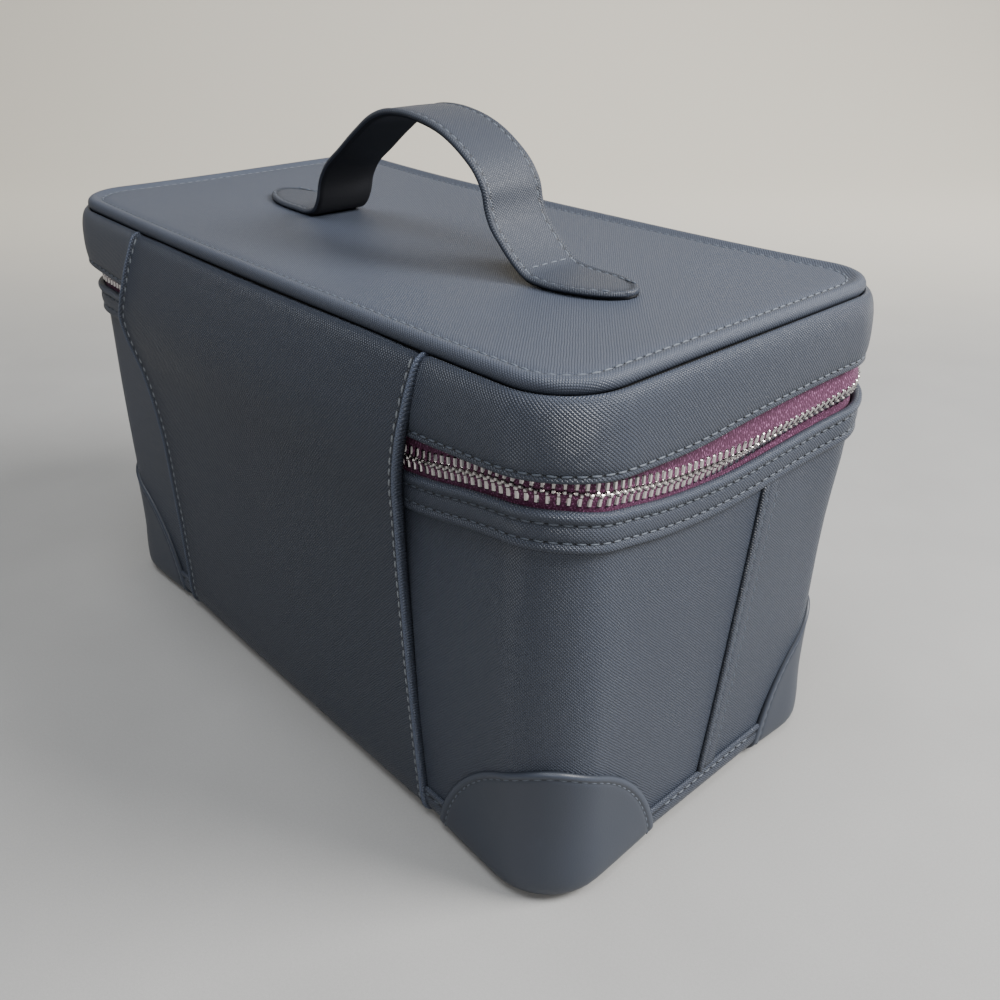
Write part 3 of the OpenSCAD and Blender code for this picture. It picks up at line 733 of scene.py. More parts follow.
# Painted shade along the strip's two edges and its two stitch columns.
STRIP_SHADE = np.array([1, 0.5, 0, 0, 0, 0.35, 0, 0, 0, 0.35, 0, 0.2, 0.8])
STRIP_Z = np.linspace(TRIM_Z - 1.5 * MM, RIM_FOOT_Z + 1 * MM, 30)
STRIP_T = 0.6 * MM
STRIP_STITCHES = (5, 9)


def seam_strip(name, side):
    """The strip over a seam, with a row of stitches on two of its columns."""
    z = np.repeat(STRIP_Z[:, None], len(STRIP_ACROSS), 1)
    s = seam_s(z) - STRIP_MIDDLE + STRIP_ACROSS[None, :]
    if side > 0:
        s = AROUND - s
    u = np.repeat(STRIP_RISE[None, :], len(STRIP_Z), 0)
    du, dz = case_settle(s, u, z)
    xy, out = plan(s, u + du)
    points = at_height(xy, z + dz)
    uv = np.stack([s, z], -1)
    made = add_grid(name, points, uv, hatched, STRIP_SHADE[None, :], turned=side < 0)
    thicken(made, STRIP_T)
    for column in STRIP_STITCHES:
        sew("case", points[3:-2, column], flat_lie(out[:, column])[3:-2])
    return made


strip_left = seam_strip("left_seam_strip", -1)
strip_right = seam_strip("right_seam_strip", 1)

# Base trim between the corner patches.
# The third value paints shade into the stitch valley.
TRIM = [
    (-9, 1.2), (-4, 1.2), (-1.8, 2), (-0.1, 3.6), (1.1, 5.6), (1.55, 8), (1.45, 10.2), (1.0, 11.1, 1),
    (1.5, 12), (1.75, 13), (1.5, 13.9), (0.9, 14.3), (0.2, 14), (-0.3, 13), (-0.5, 8), (-3, 3.2),
    (-9, 2.2),
]
TRIM_STITCH = (1.3, 11.2)
CORNER_S = (BREAK_S[1:-1:2] + BREAK_S[2::2]) / 2
CORNERS = ("back_left", "front_left", "front_right", "back_right")
PATCH_REACH = {"back_left": 54 * MM, "front_left": 42 * MM, "front_right": 42 * MM, "back_right": 54 * MM}
PATCH_LAP = 8 * MM
UNDER_PATCH = [ARC / 2 + PATCH_REACH[corner] - CORNER_R - PATCH_LAP for corner in CORNERS]
UNDER_PANEL = PANEL_FOOT - PATCH_LAP


def base_trim(name, start, end):
    """A length of trim, with its row of stitches."""
    inset = PATCH_LAP + SEW_INSET
    sew_ring("case", *TRIM_STITCH, level, start + inset, end - inset)
    return ring(name, TRIM, level, hatched, start, end)


def joined(name, pieces):
    """One piece made of several meshes."""
    with bpy.context.temp_override(active_object=pieces[0], selected_editable_objects=pieces):
        bpy.ops.object.join()
    pieces[0].name = name
    return pieces[0]


trims = {}
for i, side in enumerate(("left", "front", "right")):
    start, end = CORNER_S[i] + UNDER_PATCH[i], CORNER_S[i + 1] - UNDER_PATCH[i + 1]
    trims["base_trim_" + side] = base_trim(side + "_base_trim", start, end)
trims["base_trim_back"] = joined("back_base_trim", [
    base_trim("back_base_trim_left", UNDER_PANEL, CORNER_S[0] - UNDER_PATCH[0]),
    base_trim("back_base_trim_right", CORNER_S[3] + UNDER_PATCH[3], AROUND - UNDER_PANEL),
])

# Smooth corner patches: an arch on the corner, turned under the base.
PATCH_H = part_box("corner_patch_back_left")[1][2]
PATCH_T = 1.6 * MM
PATCH_ROUND = 6.2 * MM
PATCH_POWER = 2 / 1.8
PATCH_FOOT = PATCH_ROUND * (1 - math.pi / 2)
PATCH_SPAN = 70 * MM
PATCH_PUFF = 1.7 * MM
PUFF_Z = 7 * MM
PUFF_FADE = 15 * MM
PATCH_SHEET = 0.9 * MM
PATCH_STITCHES = 7
SOLE_DROP = np.array([0, 2, 5, 9, 13]) * MM
SOLE_TAPER = 0.35
# The patch's rolled edge, in millimetres in from its outline, and then the rings inside it.
PATCH_IN = np.array([0, 0.15, 0.45, 0.85, 1.3, 1.75, 2.2, 2.6, 3.1, 3.9, 5.5, 8.5])
PATCH_UP = np.array([-1.7, -0.6, 0, 0.2, 0.25, 0.18, 0, -0.3, -0.05, 0.03, 0, 0])
# Painted shade at the edge's fold and its stitch line, and a painted highlight (below 0) on the roll
# between them.
PATCH_SHADE_AND_HIGHLIGHT = np.array([1, 0.5, -0.1, -0.2, -0.2, -0.1, 0.1, 0.5, 0, 0, 0, 0])
PATCH_RINGS = np.array([0.9, 0.78, 0.66, 0.55, 0.45, 0.36, 0.28, 0.21, 0.15, 0.1, 0.05, 0])


def corner_patch(name, s_corner, reach):
    """An arch bent round a corner, its foot turned under, with stitches inside its edge."""
    s_line = s_corner + np.linspace(-PATCH_SPAN, PATCH_SPAN, 281)
    xy, _ = plan(s_line, 0)
    middle, aim = plan(s_corner, 0)
    q_line = (xy - middle) @ np.array([-aim[1], aim[0]])
    q_line = np.maximum.accumulate(q_line)
    half = reach / math.sqrt(2)
    turn = np.radians(np.linspace(0, 180, 73))
    arch = np.stack([
        np.sign(np.cos(turn)) * np.abs(np.cos(turn)) ** PATCH_POWER * half,
        np.sin(turn) ** PATCH_POWER * (PATCH_H - PATCH_FOOT),
    ], -1)
    radius = np.linalg.norm(arch, axis=1)
    edge = 1 - PATCH_IN[None, :] * MM / radius[:, None]
    inner = np.concatenate([edge, edge[:, -1:] * PATCH_RINGS[None, :]], 1)
    lift = np.concatenate([PATCH_UP, 0 * PATCH_RINGS]) * MM
    q = inner * arch[:, :1]
    v = inner * arch[:, 1:] + PATCH_FOOT
    lift = np.repeat(lift[None, :], len(turn), 0)

    def surface(q, v, lift):
        bend = np.clip((v - PATCH_ROUND) / PATCH_ROUND, -math.pi / 2, 0)
        under = np.clip(PATCH_FOOT - v, 0, None)
        fuller = np.exp(-((v - PUFF_Z) / PUFF_FADE) ** 2) * np.clip(1 - (q / half) ** 2, 0, 1)
        push = PATCH_T + lift + PATCH_PUFF * fuller
        u = push - PATCH_ROUND + PATCH_ROUND * np.cos(bend) - lift * (1 - np.cos(bend)) - under
        low = PATCH_ROUND + (PATCH_ROUND + np.minimum(lift, 0)) * np.sin(bend)
        z = np.where(v > PATCH_ROUND, v, low)
        s = np.interp(q, q_line, s_line)
        at, outward = plan(s, u)
        return at_height(at, z), np.stack([s, v], -1), outward

    points, uv, outward = surface(q, v, lift)
    n, m = points.shape[:2]
    faces = grid_faces(n, m)
    row_q = np.concatenate([q[0], q[-1][::-1][1:]])
    row_lift = np.concatenate([lift[0], lift[-1][::-1][1:]])
    taper = 1 - SOLE_TAPER * (SOLE_DROP / SOLE_DROP[-1]) ** 2
    sole_q = row_q[None, :] * taper[:, None]
    sole_v = PATCH_FOOT - np.repeat(SOLE_DROP[:, None], len(row_q), 1)
    sole, sole_uv, _ = surface(sole_q, sole_v, np.repeat(row_lift[None, :], len(taper), 0))
    sole_faces = (np.array(grid_faces(len(taper), len(row_q))) + n * m).tolist()
    every = np.concatenate([points.reshape(-1, 3), sole.reshape(-1, 3)])
    every_uv = np.concatenate([uv.reshape(-1, 2), sole_uv.reshape(-1, 2)])
    edge_shade_and_highlight = np.concatenate([PATCH_SHADE_AND_HIGHLIGHT, 0 * PATCH_RINGS])
    shade_and_highlight = np.concatenate([np.tile(edge_shade_and_highlight, n), np.zeros(len(sole.reshape(-1, 3)))])
    made = add_mesh(name, every, faces + sole_faces, every_uv, plain, shade_and_highlight)
    shape = bmesh.new()
    shape.from_mesh(made.data)
    bmesh.ops.recalc_face_normals(shape, faces=shape.faces)
    top = max(shape.faces, key=lambda f: f.calc_center_median().z)
    if top.normal.xy.dot(top.calc_center_median().xy) < 0:
        bmesh.ops.reverse_faces(shape, faces=shape.faces)
    shape.to_mesh(made.data)
    shape.free()
    thicken(made, PATCH_SHEET)
    column = PATCH_STITCHES
    above = points[:, column, 2] > TRIM_Z * 0.3
    sew("case", points[above, column], flat_lie(outward[:, column])[above])
    return made


patches = {
    "corner_patch_" + corner: corner_patch(corner + "_corner_patch", CORNER_S[i], PATCH_REACH[corner])
    for i, corner in enumerate(CORNERS)
}

# Hinge panel: one sheet from under the base, over the zip's level, into the groove of the lid.
PANEL_LINE = [
    (-12, 1.5), (-6, 1.5), (-2.2, 1.8), (0.2, 3.2), (1.7, 6), (2.3, 10), (2.5, 20), (2.7, 35),
    (2.8, 50), (2.9, 65), (2.9, 80), (2.8, 95), (2.7, 108), (2.6, 120), (2.6, 130), (2.8, 138),
    (3, 145), (3.2, 150), (3.5, 155), (3.7, 160), (3.6, 165), (3.4, 170), (2.7, 175), (1.7, 179),
    (0.6, 180.5), (-0.8, 181), (-2.2, 180.7),
]
# The panel's rolled side edges, in millimetres in from each side.
PANEL_IN = np.array([0, 0.04, 0.15, 0.42, 0.8, 1.2, 1.6, 1.95, 2.4, 2.9, 3.6, 5, 10])
PANEL_UP = np.array([-2.6, -1.6, -0.5, 0.3, 0.7, 0.8, 0.6, 0.2, -0.25, -0.4, -0.3, -0.2, -0.1])
# Painted highlight (below 0) on each rolled edge, and painted shade at its outer fold and in the valley
# inside it.
PANEL_SHADE_AND_HIGHLIGHT = np.array([1, 0.5, -0.1, -0.6, -0.85, -0.85, -0.5, 0, 0.3, 0.4, 0.1, 0, 0])

# The panel is sewn on a little askew: its left and right edges, and the share of its puff, by height.
PANEL_LEFT = [(0, -91), (62, -87.1), (124, -87.2), (142, -89.4), (156, -92.2), (169, -94.6), (183, -96.5)]
PANEL_RIGHT = [
    (0, 89), (60, 87), (99, 86.1), (122, 87.8), (140, 90.8), (149, 91.4), (157, 88.6), (170, 86.5),
    (183, 86),
]
PANEL_PUFF = [
    (0, 0), (60, 0.05), (99, 0.25), (122, 0.57), (140, 0.94), (149, 1), (157, 0.87), (165, 0.6),
    (172, 0.32), (178, 0.1), (183, 0),
]
PANEL_W = 180 * MM
PANEL_EDGE = 10 * MM
PANEL_SOFT = 0.35 * MM
PANEL_DROP = 2 * MM
PANEL_STITCHES = 10
COVER_T = 0.8 * MM


def hinge_panel():
    """The panel's sheet with its rolled edges, and a row of stitches inside each."""
    line = np.array(PANEL_LINE, float)
    fine = np.linspace(0, lengths(line)[-1], 110)
    u, z = follow(line, fine) * MM
    run = fine * MM
    du, dz = np.gradient(u), np.gradient(z)
    size = np.hypot(du, dz)
    out_u, out_z = dz / size, -du / size
    left = through(PANEL_LEFT, z / MM)[:, None] * MM
    right = through(PANEL_RIGHT, z / MM)[:, None] * MM
    middle = np.linspace(0, 1, 17)[None, 1:-1]
    inset = PANEL_IN[None, :] * MM
    across = left + PANEL_EDGE + (right - left - 2 * PANEL_EDGE) * middle
    x = np.concatenate([left + inset, across, right - inset[:, ::-1]], 1)
    lift = np.concatenate([PANEL_UP, np.zeros(middle.shape[1]), PANEL_UP[::-1]]) * MM
    lift = np.repeat(lift[None, :], len(z), 0)
    soft = np.sin(x / (31 * MM) + 1.3) * np.sin(run[:, None] / (43 * MM)) * PANEL_SOFT
    lift = lift + soft * smooth(np.minimum(x - left, right - x), 6 * MM, 30 * MM)
    top = smooth(z, HEM_Z, WALL_Z)[:, None]
    wave = -PANEL_DROP * smooth(z, 120 * MM, HEM_Z)[:, None] * (1 - top)
    side = np.clip(x / PANEL_W + 0.5, 0, 1)
    puff = (4 + 3.5 * side + 5 * side * (1 - side)) * through(PANEL_PUFF, z / MM)[:, None] * MM
    y = HALF_W + u[:, None] + puff + lift * out_u[:, None]
    height = z[:, None] + lift * out_z[:, None] + wave - top * top_sag(x, HALF_W + 0 * x)
    points = np.stack([x, y, height], -1)
    uv = np.stack([x, np.repeat(run[:, None], x.shape[1], 1)], -1)
    shade_and_highlight = np.concatenate([PANEL_SHADE_AND_HIGHLIGHT, np.zeros(middle.shape[1]), PANEL_SHADE_AND_HIGHLIGHT[::-1]])
    made = add_grid("hinge_panel_sewn", points, uv, hatched_panel, shade_and_highlight[None, :])
    thicken(made, COVER_T)
    lie = np.stack([0 * z, out_u, out_z], -1)
    keep = (z > 4 * MM) & (np.arange(len(z)) < len(z) - 3)
    for column in (PANEL_STITCHES, x.shape[1] - 1 - PANEL_STITCHES):
        sew("hinge", points[keep, column], lie[keep])
    return made


hinge = hinge_panel()

# Lid: padded wall with a turned hem, and the top with its rolled edge.
HEM_ROW = 159.5
# Third values paint shade under the turned hem, along the hem's stitch row and in the groove under the
# top's roll.
LID_WALL = [
    (1, 159, 1), (1.6, 157.9, 0.8), (2.6, 157.3, 0.2), (3.3, 157.4), (3.7, 158), (3.6, 158.8),
    (3.1, HEM_ROW, 0.5), (3.5, 160.1), (3.8, 161.2), (3.95, 163), (3.95, 166), (3.85, 169), (3.65, 172),
    (3.35, 174.8), (2.9, 177.2), (2.3, 179.1), (1.6, 180.5), (0.75, 181.4), (-0.1, 181.7, 0.1),
    (-0.8, 181.3, 0.8), (-1.5, 180.1, 1), (-1.8, 178.1, 1), (-1, 176.8), (1.4, 174), (1.4, 166),
]
lid_wall = ring("lid_wall_sewn", LID_WALL, lid_settle, hatched)
HEM_STITCH_U = 3.4
HEM_FIRST_S = PANEL_WAIST + 4 * MM
sew_ring("lid", HEM_STITCH_U, HEM_ROW, lid_settle, HEM_FIRST_S, AROUND - HEM_FIRST_S)

ROLL_TURN = np.radians(np.arange(-95, 136, 15))
ROLL_R = 2.6
# Painted shade on the underside of the roll, which faces down into the groove, and along the top's stitch
# line.
ROLL = [
    (-3.1 + ROLL_R * math.cos(a), 183.4 + ROLL_R * math.sin(a), 1 if a < -0.9 else 0) for a in ROLL_TURN
]
TOP_STITCH_U = -6.7
TOP_STITCH_Z = 184.8
TOP_Z = 185.4
TOP = ROLL + [(-5.9, 185), (TOP_STITCH_U, 184.6, 0.6), (-7.5, 184.95), (-9, 185.25), (-11, 185.35)]
TOP += [(u, TOP_Z) for u in (-14, -18, -19, -24, -30, -37, -45, -54, -63, -70, -74.5, -77.5)]


def top_height(x, y):
    """How the lid's top sinks, with slow waves in its padding."""
    return -top_sag(x, y) + np.sin(x / (37 * MM)) * np.sin(y / (23 * MM) + 0.6) * 0.2 * MM


lid_top = cap("lid_top_sewn", TOP, hatched_top, top_height)
thicken(lid_top, COVER_T)
top_s = stations()
top_xy, _ = plan(top_s, TOP_STITCH_U * MM)
top_z = TOP_STITCH_Z * MM + top_height(top_xy[:, 0], top_xy[:, 1])
sew("lid", at_height(top_xy, top_z), np.repeat([[0, 0, 1]], len(top_s), 0))

# Zip tapes and teeth.
LOWER_TAPE = [
    (-1.5, 139), (-1.2, 139), (-1, 146), (-0.9, 149), (-0.75, 150.6), (-0.5, 151.2), (-0.55, 151.9),
    (-1.2, 152.1), (-1.9, 151.8), (-1.8, 151), (-1.6, 150), (-1.6, 146),
]
TAPES_MEET = 152.5
UPPER_TAPE = [(u, 2 * TAPES_MEET - z) for u, z in reversed(LOWER_TAPE)]
lower_tape = ring("lower_zip_tape", LOWER_TAPE, lower_tape_settle, tape, TAPE_END_X, AROUND - TAPE_END_X)
upper_tape = ring("upper_zip_tape", UPPER_TAPE, upper_tape_settle, tape, TAPE_END_X, AROUND - TAPE_END_X)


def spread_tree(name):
    """Repeats a small shape along rows of edges, turned to lie on the surface under them."""
    tree = bpy.data.node_groups.new(name, "GeometryNodeTree")
    tree.interface.new_socket("Geometry", in_out="INPUT", socket_type="NodeSocketGeometry")
    keys = {}
    kinds = {"Shape": "Object", "Pitch": "Float", "Turn": "Float", "Seed": "Int", "Material": "Material"}
    for label, kind in kinds.items():
        made = tree.interface.new_socket(label, in_out="INPUT", socket_type="NodeSocket" + kind)
        keys[label] = made.identifier
    tree.interface.new_socket("Geometry", in_out="OUTPUT", socket_type="NodeSocketGeometry")
    given = tree.nodes.new("NodeGroupInput").outputs

    curve = add_node(tree, "GeometryNodeMeshToCurve", {"Mesh": given["Geometry"]})["Curve"]
    inputs = {"Curve": curve, "Length": given["Pitch"]}
    steps = add_node(tree, "GeometryNodeResampleCurve", inputs, mode="LENGTH")["Curve"]

    named = add_node(tree, "GeometryNodeInputNamedAttribute", {"Name": "lie"}, data_type="FLOAT_VECTOR")
    align = "FunctionNodeAlignRotationToVector"
    upright = add_node(tree, align, {"Vector": named["Attribute"]}, axis="Z")["Rotation"]
    tangent = add_node(tree, "GeometryNodeInputTangent", {})["Tangent"]
    inputs = {"Rotation": upright, "Vector": tangent}
    along = add_node(tree, align, inputs, axis="X", pivot_axis="Z")["Rotation"]

    less = scaled(tree, given["Turn"], -1.0)
    inputs = {2: less, 3: given["Turn"], "Seed": given["Seed"]}
    jitter = add_node(tree, "FunctionNodeRandomValue", inputs, data_type="FLOAT")[1]
    swing = add_node(tree, "ShaderNodeCombineXYZ", {"Z": jitter})[0]
    euler = add_node(tree, "FunctionNodeEulerToRotation", {0: swing})[0]
    inputs = {"Rotation": along, "Rotate By": euler}
    turned = add_node(tree, "FunctionNodeRotateRotation", inputs, rotation_space="LOCAL")["Rotation"]

    shape = add_node(tree, "GeometryNodeObjectInfo", {"Object": given["Shape"]})["Geometry"]
    inputs = {"Points": steps, "Instance": shape, "Rotation": turned}
    placed = add_node(tree, "GeometryNodeInstanceOnPoints", inputs)["Instances"]
    real = add_node(tree, "GeometryNodeRealizeInstances", {"Geometry": placed})["Geometry"]
    inputs = {"Geometry": real, "Material": given["Material"]}
    painted = add_node(tree, "GeometryNodeSetMaterial", inputs)["Geometry"]
    add_node(tree, "NodeGroupOutput", {"Geometry": painted})
    return tree, keys


SPREAD, SPREAD_KEYS = spread_tree("Shapes along rows")


def spread(name, rows, shape, pitch, turn, seed, material, soft=True):
    """One mesh of a shape repeated along several rows of (points, outward directions)."""
    points = np.concatenate([r[0] for r in rows])
    lie = np.concatenate([r[1] for r in rows])
    edges, first = [], 0
    for row, _ in rows:
        edges += [(first + i, first + i + 1) for i in range(len(row) - 1)]
        first += len(row)
    mesh = bpy.data.meshes.new(name)
    mesh.from_pydata(points.tolist(), edges, [])
    kept = mesh.attributes.new("lie", "FLOAT_VECTOR", "POINT")
    kept.data.foreach_set("vector", lie.astype(np.float32).ravel())
    obj = new_object(name, mesh)
    maker = obj.modifiers.new("rows", "NODES")
    maker.node_group = SPREAD
    values = {"Shape": shape, "Pitch": pitch, "Turn": turn, "Seed": seed, "Material": material}
    for label, value in values.items():
        maker[SPREAD_KEYS[label]] = value
    make_plain(obj)
    obj.data.polygons.foreach_set("use_smooth", [soft] * len(obj.data.polygons))
    return obj


def small_shape(name, points, faces):
    mesh = bpy.data.meshes.new(name)
    mesh.from_pydata(points, [], faces)
    shape = bmesh.new()
    shape.from_mesh(mesh)
    bmesh.ops.recalc_face_normals(shape, faces=shape.faces)
    shape.to_mesh(mesh)
    shape.free()
    return new_object(name, mesh)


def loft(sections):
    """Points and faces of a closed shape through rings of points, its ends filled."""
    count = len(sections[0])
    points = [tuple(p) for ring_points in sections for p in ring_points]
    faces = []
    for i in range(len(sections) - 1):
        for j in range(count):
            k = (j + 1) % count
            faces.append((i * count + j, i * count + k, (i + 1) * count + k, (i + 1) * count + j))
    faces.append(tuple(reversed(range(count))))
    faces.append(tuple((len(sections) - 1) * count + j for j in range(count)))
    return points, faces


def stitch_shape(length, width, rise):
    """One stitch: a short fat thread that dives into the leather at both ends."""
    sections, dive_shade = [], []
    for t, thick, sink, end_shade in (
        (-1, 0.5, -0.55, 1), (-0.8, 0.9, -0.4, 1), (-0.62, 0.8, -0.15, 0.1), (0, 1, 0, 0),
        (0.62, 0.8, -0.15, 0.1), (0.8, 0.9, -0.4, 1), (1, 0.5, -0.55, 1),
    ):
        ring_points = []
        for a in range(6):
            turn = math.radians(60 * a)
            ring_points.append((
                t * length / 2,
                -math.cos(turn) * thick * width / 2,
                sink * rise + math.sin(turn) * thick * rise / 2,
            ))
        sections.append(ring_points)
        dive_shade += [end_shade] * 6
    made = small_shape("stitch", *loft(sections))
    # The ends of each stitch carry painted shade where the thread sinks into its hole.
    made.data.attributes.new("dive_shade", "FLOAT", "POINT").data.foreach_set("value", dive_shade)
    return made


def tooth_shape(side):
    """One zip tooth: a flat clasp on the tape's edge, with a stepped-up head that meets the other row."""
    sections = []
    for reach, wide, deep in (
        (-3.55, 0.35, 0.35), (-3.4, 0.62, 0.65), (-3.1, 0.74, 0.88), (-1.0, 0.74, 0.98), (-0.85, 0.5, 1.2),
        (-0.5, 0.66, 1.45), (0.2, 0.66, 1.45), (0.5, 0.55, 1.25), (0.72, 0.3, 0.8),
    ):
        corner = 0.48
        outline = [(1, 1 - corner), (1 - corner, 1), (corner - 1, 1), (-1, 1 - corner)]
        outline += [(-x, -y) for x, y in outline]
        sections.append([(x * wide * MM, side * reach * MM, y * deep * MM) for x, y in outline])
    return small_shape("tooth", *loft(sections))


TOOTH_PITCH = 2.9 * MM
TOOTH_TURN = 0.03
TOOTH_SEED = 3
CHAIN_INSET = 2 * MM
CHAIN_U = -1.2 * MM
ROW_APART = 0.2 * MM


def chain_row(side, shift):
    """The line of a row of teeth, from the hinge panel by the front to the panel's other edge."""
    first_s = TAPE_END_X + CHAIN_INSET + shift
    s = stations(first_s, AROUND - first_s)
    z = np.full(len(s), CHAIN_Z - side * ROW_APART)
    u = np.full(len(s), CHAIN_U)
    du, dz = lower_tape_settle(s, u, z)
    xy, out = plan(s, u + du)
    lean = chain_lean(s)[:, None]
    lie = np.concatenate([out * np.cos(lean), -np.sin(lean)], -1)
    return at_height(xy, z + dz), lie


teeth_parts = []
for name, side, shift in (("lower_zip_teeth", 1, 0.0), ("upper_zip_teeth", -1, TOOTH_PITCH / 2)):
    tooth = tooth_shape(side)
    rows = [chain_row(side, shift)]
    teeth_parts.append(spread(name, rows, tooth, TOOTH_PITCH, TOOTH_TURN, TOOTH_SEED, silver, soft=False))
    bpy.data.objects.remove(tooth)
lower_teeth, upper_teeth = teeth_parts

# Strap handle with sewn tongues. Its middle line is (x, height over the lid), tip to tip, in millimetres.
STRAP_LINE = [
    (-106, 1.2), (-90, 1.2), (-77, 1.3), (-70, 2.3), (-64.5, 5.6), (-58.5, 10.6), (-53, 16.4),
    (-50.6, 21.5), (-49.4, 26.5), (-46.5, 31), (-37, 38.6), (-27, 43.4), (-16, 46), (-5, 46.8), (4, 46),
    (12, 43.4), (21, 38), (33, 29.6), (44.5, 21), (48.5, 15.4), (51, 8.4), (54.5, 3.7), (60, 1.6),
    (70, 1.2), (102, 1.2),
]
# The upper leather's height by the distance from its edge, in millimetres.
STRAP_TOP = [
    (0, 0.1), (0.25, 0.85), (0.7, 1.4), (1.3, 1.6), (1.9, 1.4), (2.5, 0.95), (3.2, 1.3), (5, 1.45),
    (14, 1.5),
]
STRAP_HALF = 13.5 * MM
STRAP_IN = np.array([0, 0.2, 0.6, 1.2, 1.9, 2.6, 3.3, 4.2, 6, 9]) * MM
STRAP_STITCHES = 5
STITCH_LINE = 2.5 * MM
FINE_TIP = 6 * MM
UNDER_SHARE = 0.965
UNDER_Z = -0.3 * MM
UNDER_T = 1.05 * MM
LEAF = 30 * MM
SEAT_Z = LID_Z - 0.6 * MM
HANDLE_Y = 1.5 * MM
CROSS_ROWS_X = (-68 * MM, 61 * MM)


def strap():
    """The strap's upper leather and its dark underside, with its rows of stitches."""
    knots = np.array(STRAP_LINE) * MM
    end = lengths(knots)[-1]
    tip_steps = np.linspace(0, FINE_TIP, 10)[:-1]
    long_steps = np.linspace(FINE_TIP, end - FINE_TIP, 130)
    want = np.concatenate([tip_steps, long_steps, end - tip_steps[::-1]])
    x, z = follow(knots, want)
    z = z + SEAT_Z - top_sag(x, 0 * x)
    tip = np.minimum(want, end - want)
    half = STRAP_HALF * np.sqrt(np.clip(1 - np.clip(1 - tip / LEAF, 0, 1) ** 2.2, 0, 1))
    ahead = np.stack([np.gradient(x, want), np.gradient(z, want)], -1)
    ahead = ahead / np.linalg.norm(ahead, axis=1)[:, None]
    out = np.stack([-ahead[:, 1], ahead[:, 0]], -1)
    edge = STRAP_IN / STRAP_HALF
    across = np.concatenate([-(1 - edge), [0], (1 - edge)[::-1]])
    y = half[:, None] * across[None, :]
    outline = np.concatenate([np.stack([want, half], -1), np.stack([want, -half], -1)])
    flat = np.stack([np.repeat(want[:, None], y.shape[1], 1), y], -1)
    away = np.min(np.linalg.norm(flat[:, :, None, :] - outline[None, None, :, :], axis=-1), axis=2)
    away = np.where(np.abs(across)[None, :] == 1, 0, away)
    above = np.interp(away / MM, *zip(*STRAP_TOP)) * MM
    below = -0.5 * MM * smooth(away, 0, 0.8 * MM) + 0.1 * MM * (1 - smooth(away, 0, 0.5 * MM))

    def lay(offset, spread_y):
        px = x[:, None] + offset * out[:, :1]
        pz = z[:, None] + offset * out[:, 1:]
        return np.stack([px, spread_y + HANDLE_Y, pz], -1)

    upper_face = lay(above, y)
    upper = np.concatenate([upper_face, lay(below, y)[:, ::-1]], 1)
    uv_y = np.concatenate([y, y[:, ::-1] + 0.1], 1)
    uv = np.stack([np.repeat(want[:, None], upper.shape[1], 1), uv_y], -1)
    # Painted shade along the stitch line inside the strap's edges.
    stitch_line_shade = np.exp(-((away - STITCH_LINE) / (0.45 * MM)) ** 2)
    shade_and_highlight = np.concatenate([stitch_line_shade, 0 * stitch_line_shade], 1)
    leather = add_grid("handle_strap", upper, uv, hatched_strap, shade_and_highlight)
    low_y = y * UNDER_SHARE
    deep = UNDER_Z - UNDER_T * smooth(away, 0, 1.0 * MM)
    under = np.concatenate([lay(np.full(y.shape, UNDER_Z), low_y), lay(deep, low_y)[:, ::-1]], 1)
    underside = add_grid("handle_strap_underside", under, uv, dark)
    lie = np.stack([out[:, 0], 0 * x, out[:, 1]], -1)
    keep = slice(len(tip_steps), len(want) - len(tip_steps))
    for column in (STRAP_STITCHES, y.shape[1] - 1 - STRAP_STITCHES):
        sew("handle", upper_face[keep, column], lie[keep])
    for row_x in CROSS_ROWS_X:
        at = np.argmin(np.abs(x - row_x))
        row = upper_face[at, STRAP_STITCHES:-STRAP_STITCHES]
        sew("handle", row, np.repeat(lie[at:at + 1], len(row), 0))
    return leather, underside


handle, handle_under = strap()

# Linings and bindings.
WALL_LINING = [(-5.2, 6), (-4.7, 6), (-4.6, 146), (-5.3, 146), (-5.5, 110), (-5.5, 40)]
wall_lining = ring("wall_lining_cloth", WALL_LINING, level, lining)
LID_LINING = [(-5.2, 160), (-4.6, 160), (-4.6, 177), (-5.3, 177), (-5.4, 168)]
lid_lining = ring("lid_wall_lining_cloth", LID_LINING, level, lining)
RIM_BINDING = [
    (-1.9, 142), (-1.6, 143), (-1.6, 146), (-2, 146.8), (-3, 147.3), (-4.6, 147.3), (-5.6, 146.8),
    (-6, 146), (-6, 143), (-5.7, 142), (-5.2, 142), (-5.2, 146), (-2.2, 146),
]
rim_binding = ring("rim_binding_tape", RIM_BINDING, level, binding)
BINDING_FOOT = 142
LID_BINDING_TOP = 163.6
LID_BINDING = [(u, BINDING_FOOT + LID_BINDING_TOP - z) for u, z in reversed(RIM_BINDING)]
lid_binding = ring("lid_binding_tape", LID_BINDING, level, binding)
FLOOR_FOOT = 5.8
FLOOR = [(-5.6, FLOOR_FOOT), (-5.5, 6.6), (-6.2, 7.1), (-8, 7.3), (-12, 7.5)]
FLOOR += [(u, 7.6) for u in (-18, -19, -30, -45, -60, -74.5, -77.5)]
PAD_T = 1.2 * MM
floor_pad = cap("floor_pad_cloth", FLOOR, lining, lambda x, y: 0 * x)
thicken(floor_pad, PAD_T)
CEILING_TOP = 177.6
CEILING_T = 0.6 * MM
CEILING = [(u, CEILING_TOP + FLOOR_FOOT - z) for u, z in FLOOR]
ceiling = cap("lid_ceiling_cloth", CEILING, lining, lambda x, y: 0 * x, turned=True)
thicken(ceiling, CEILING_T)

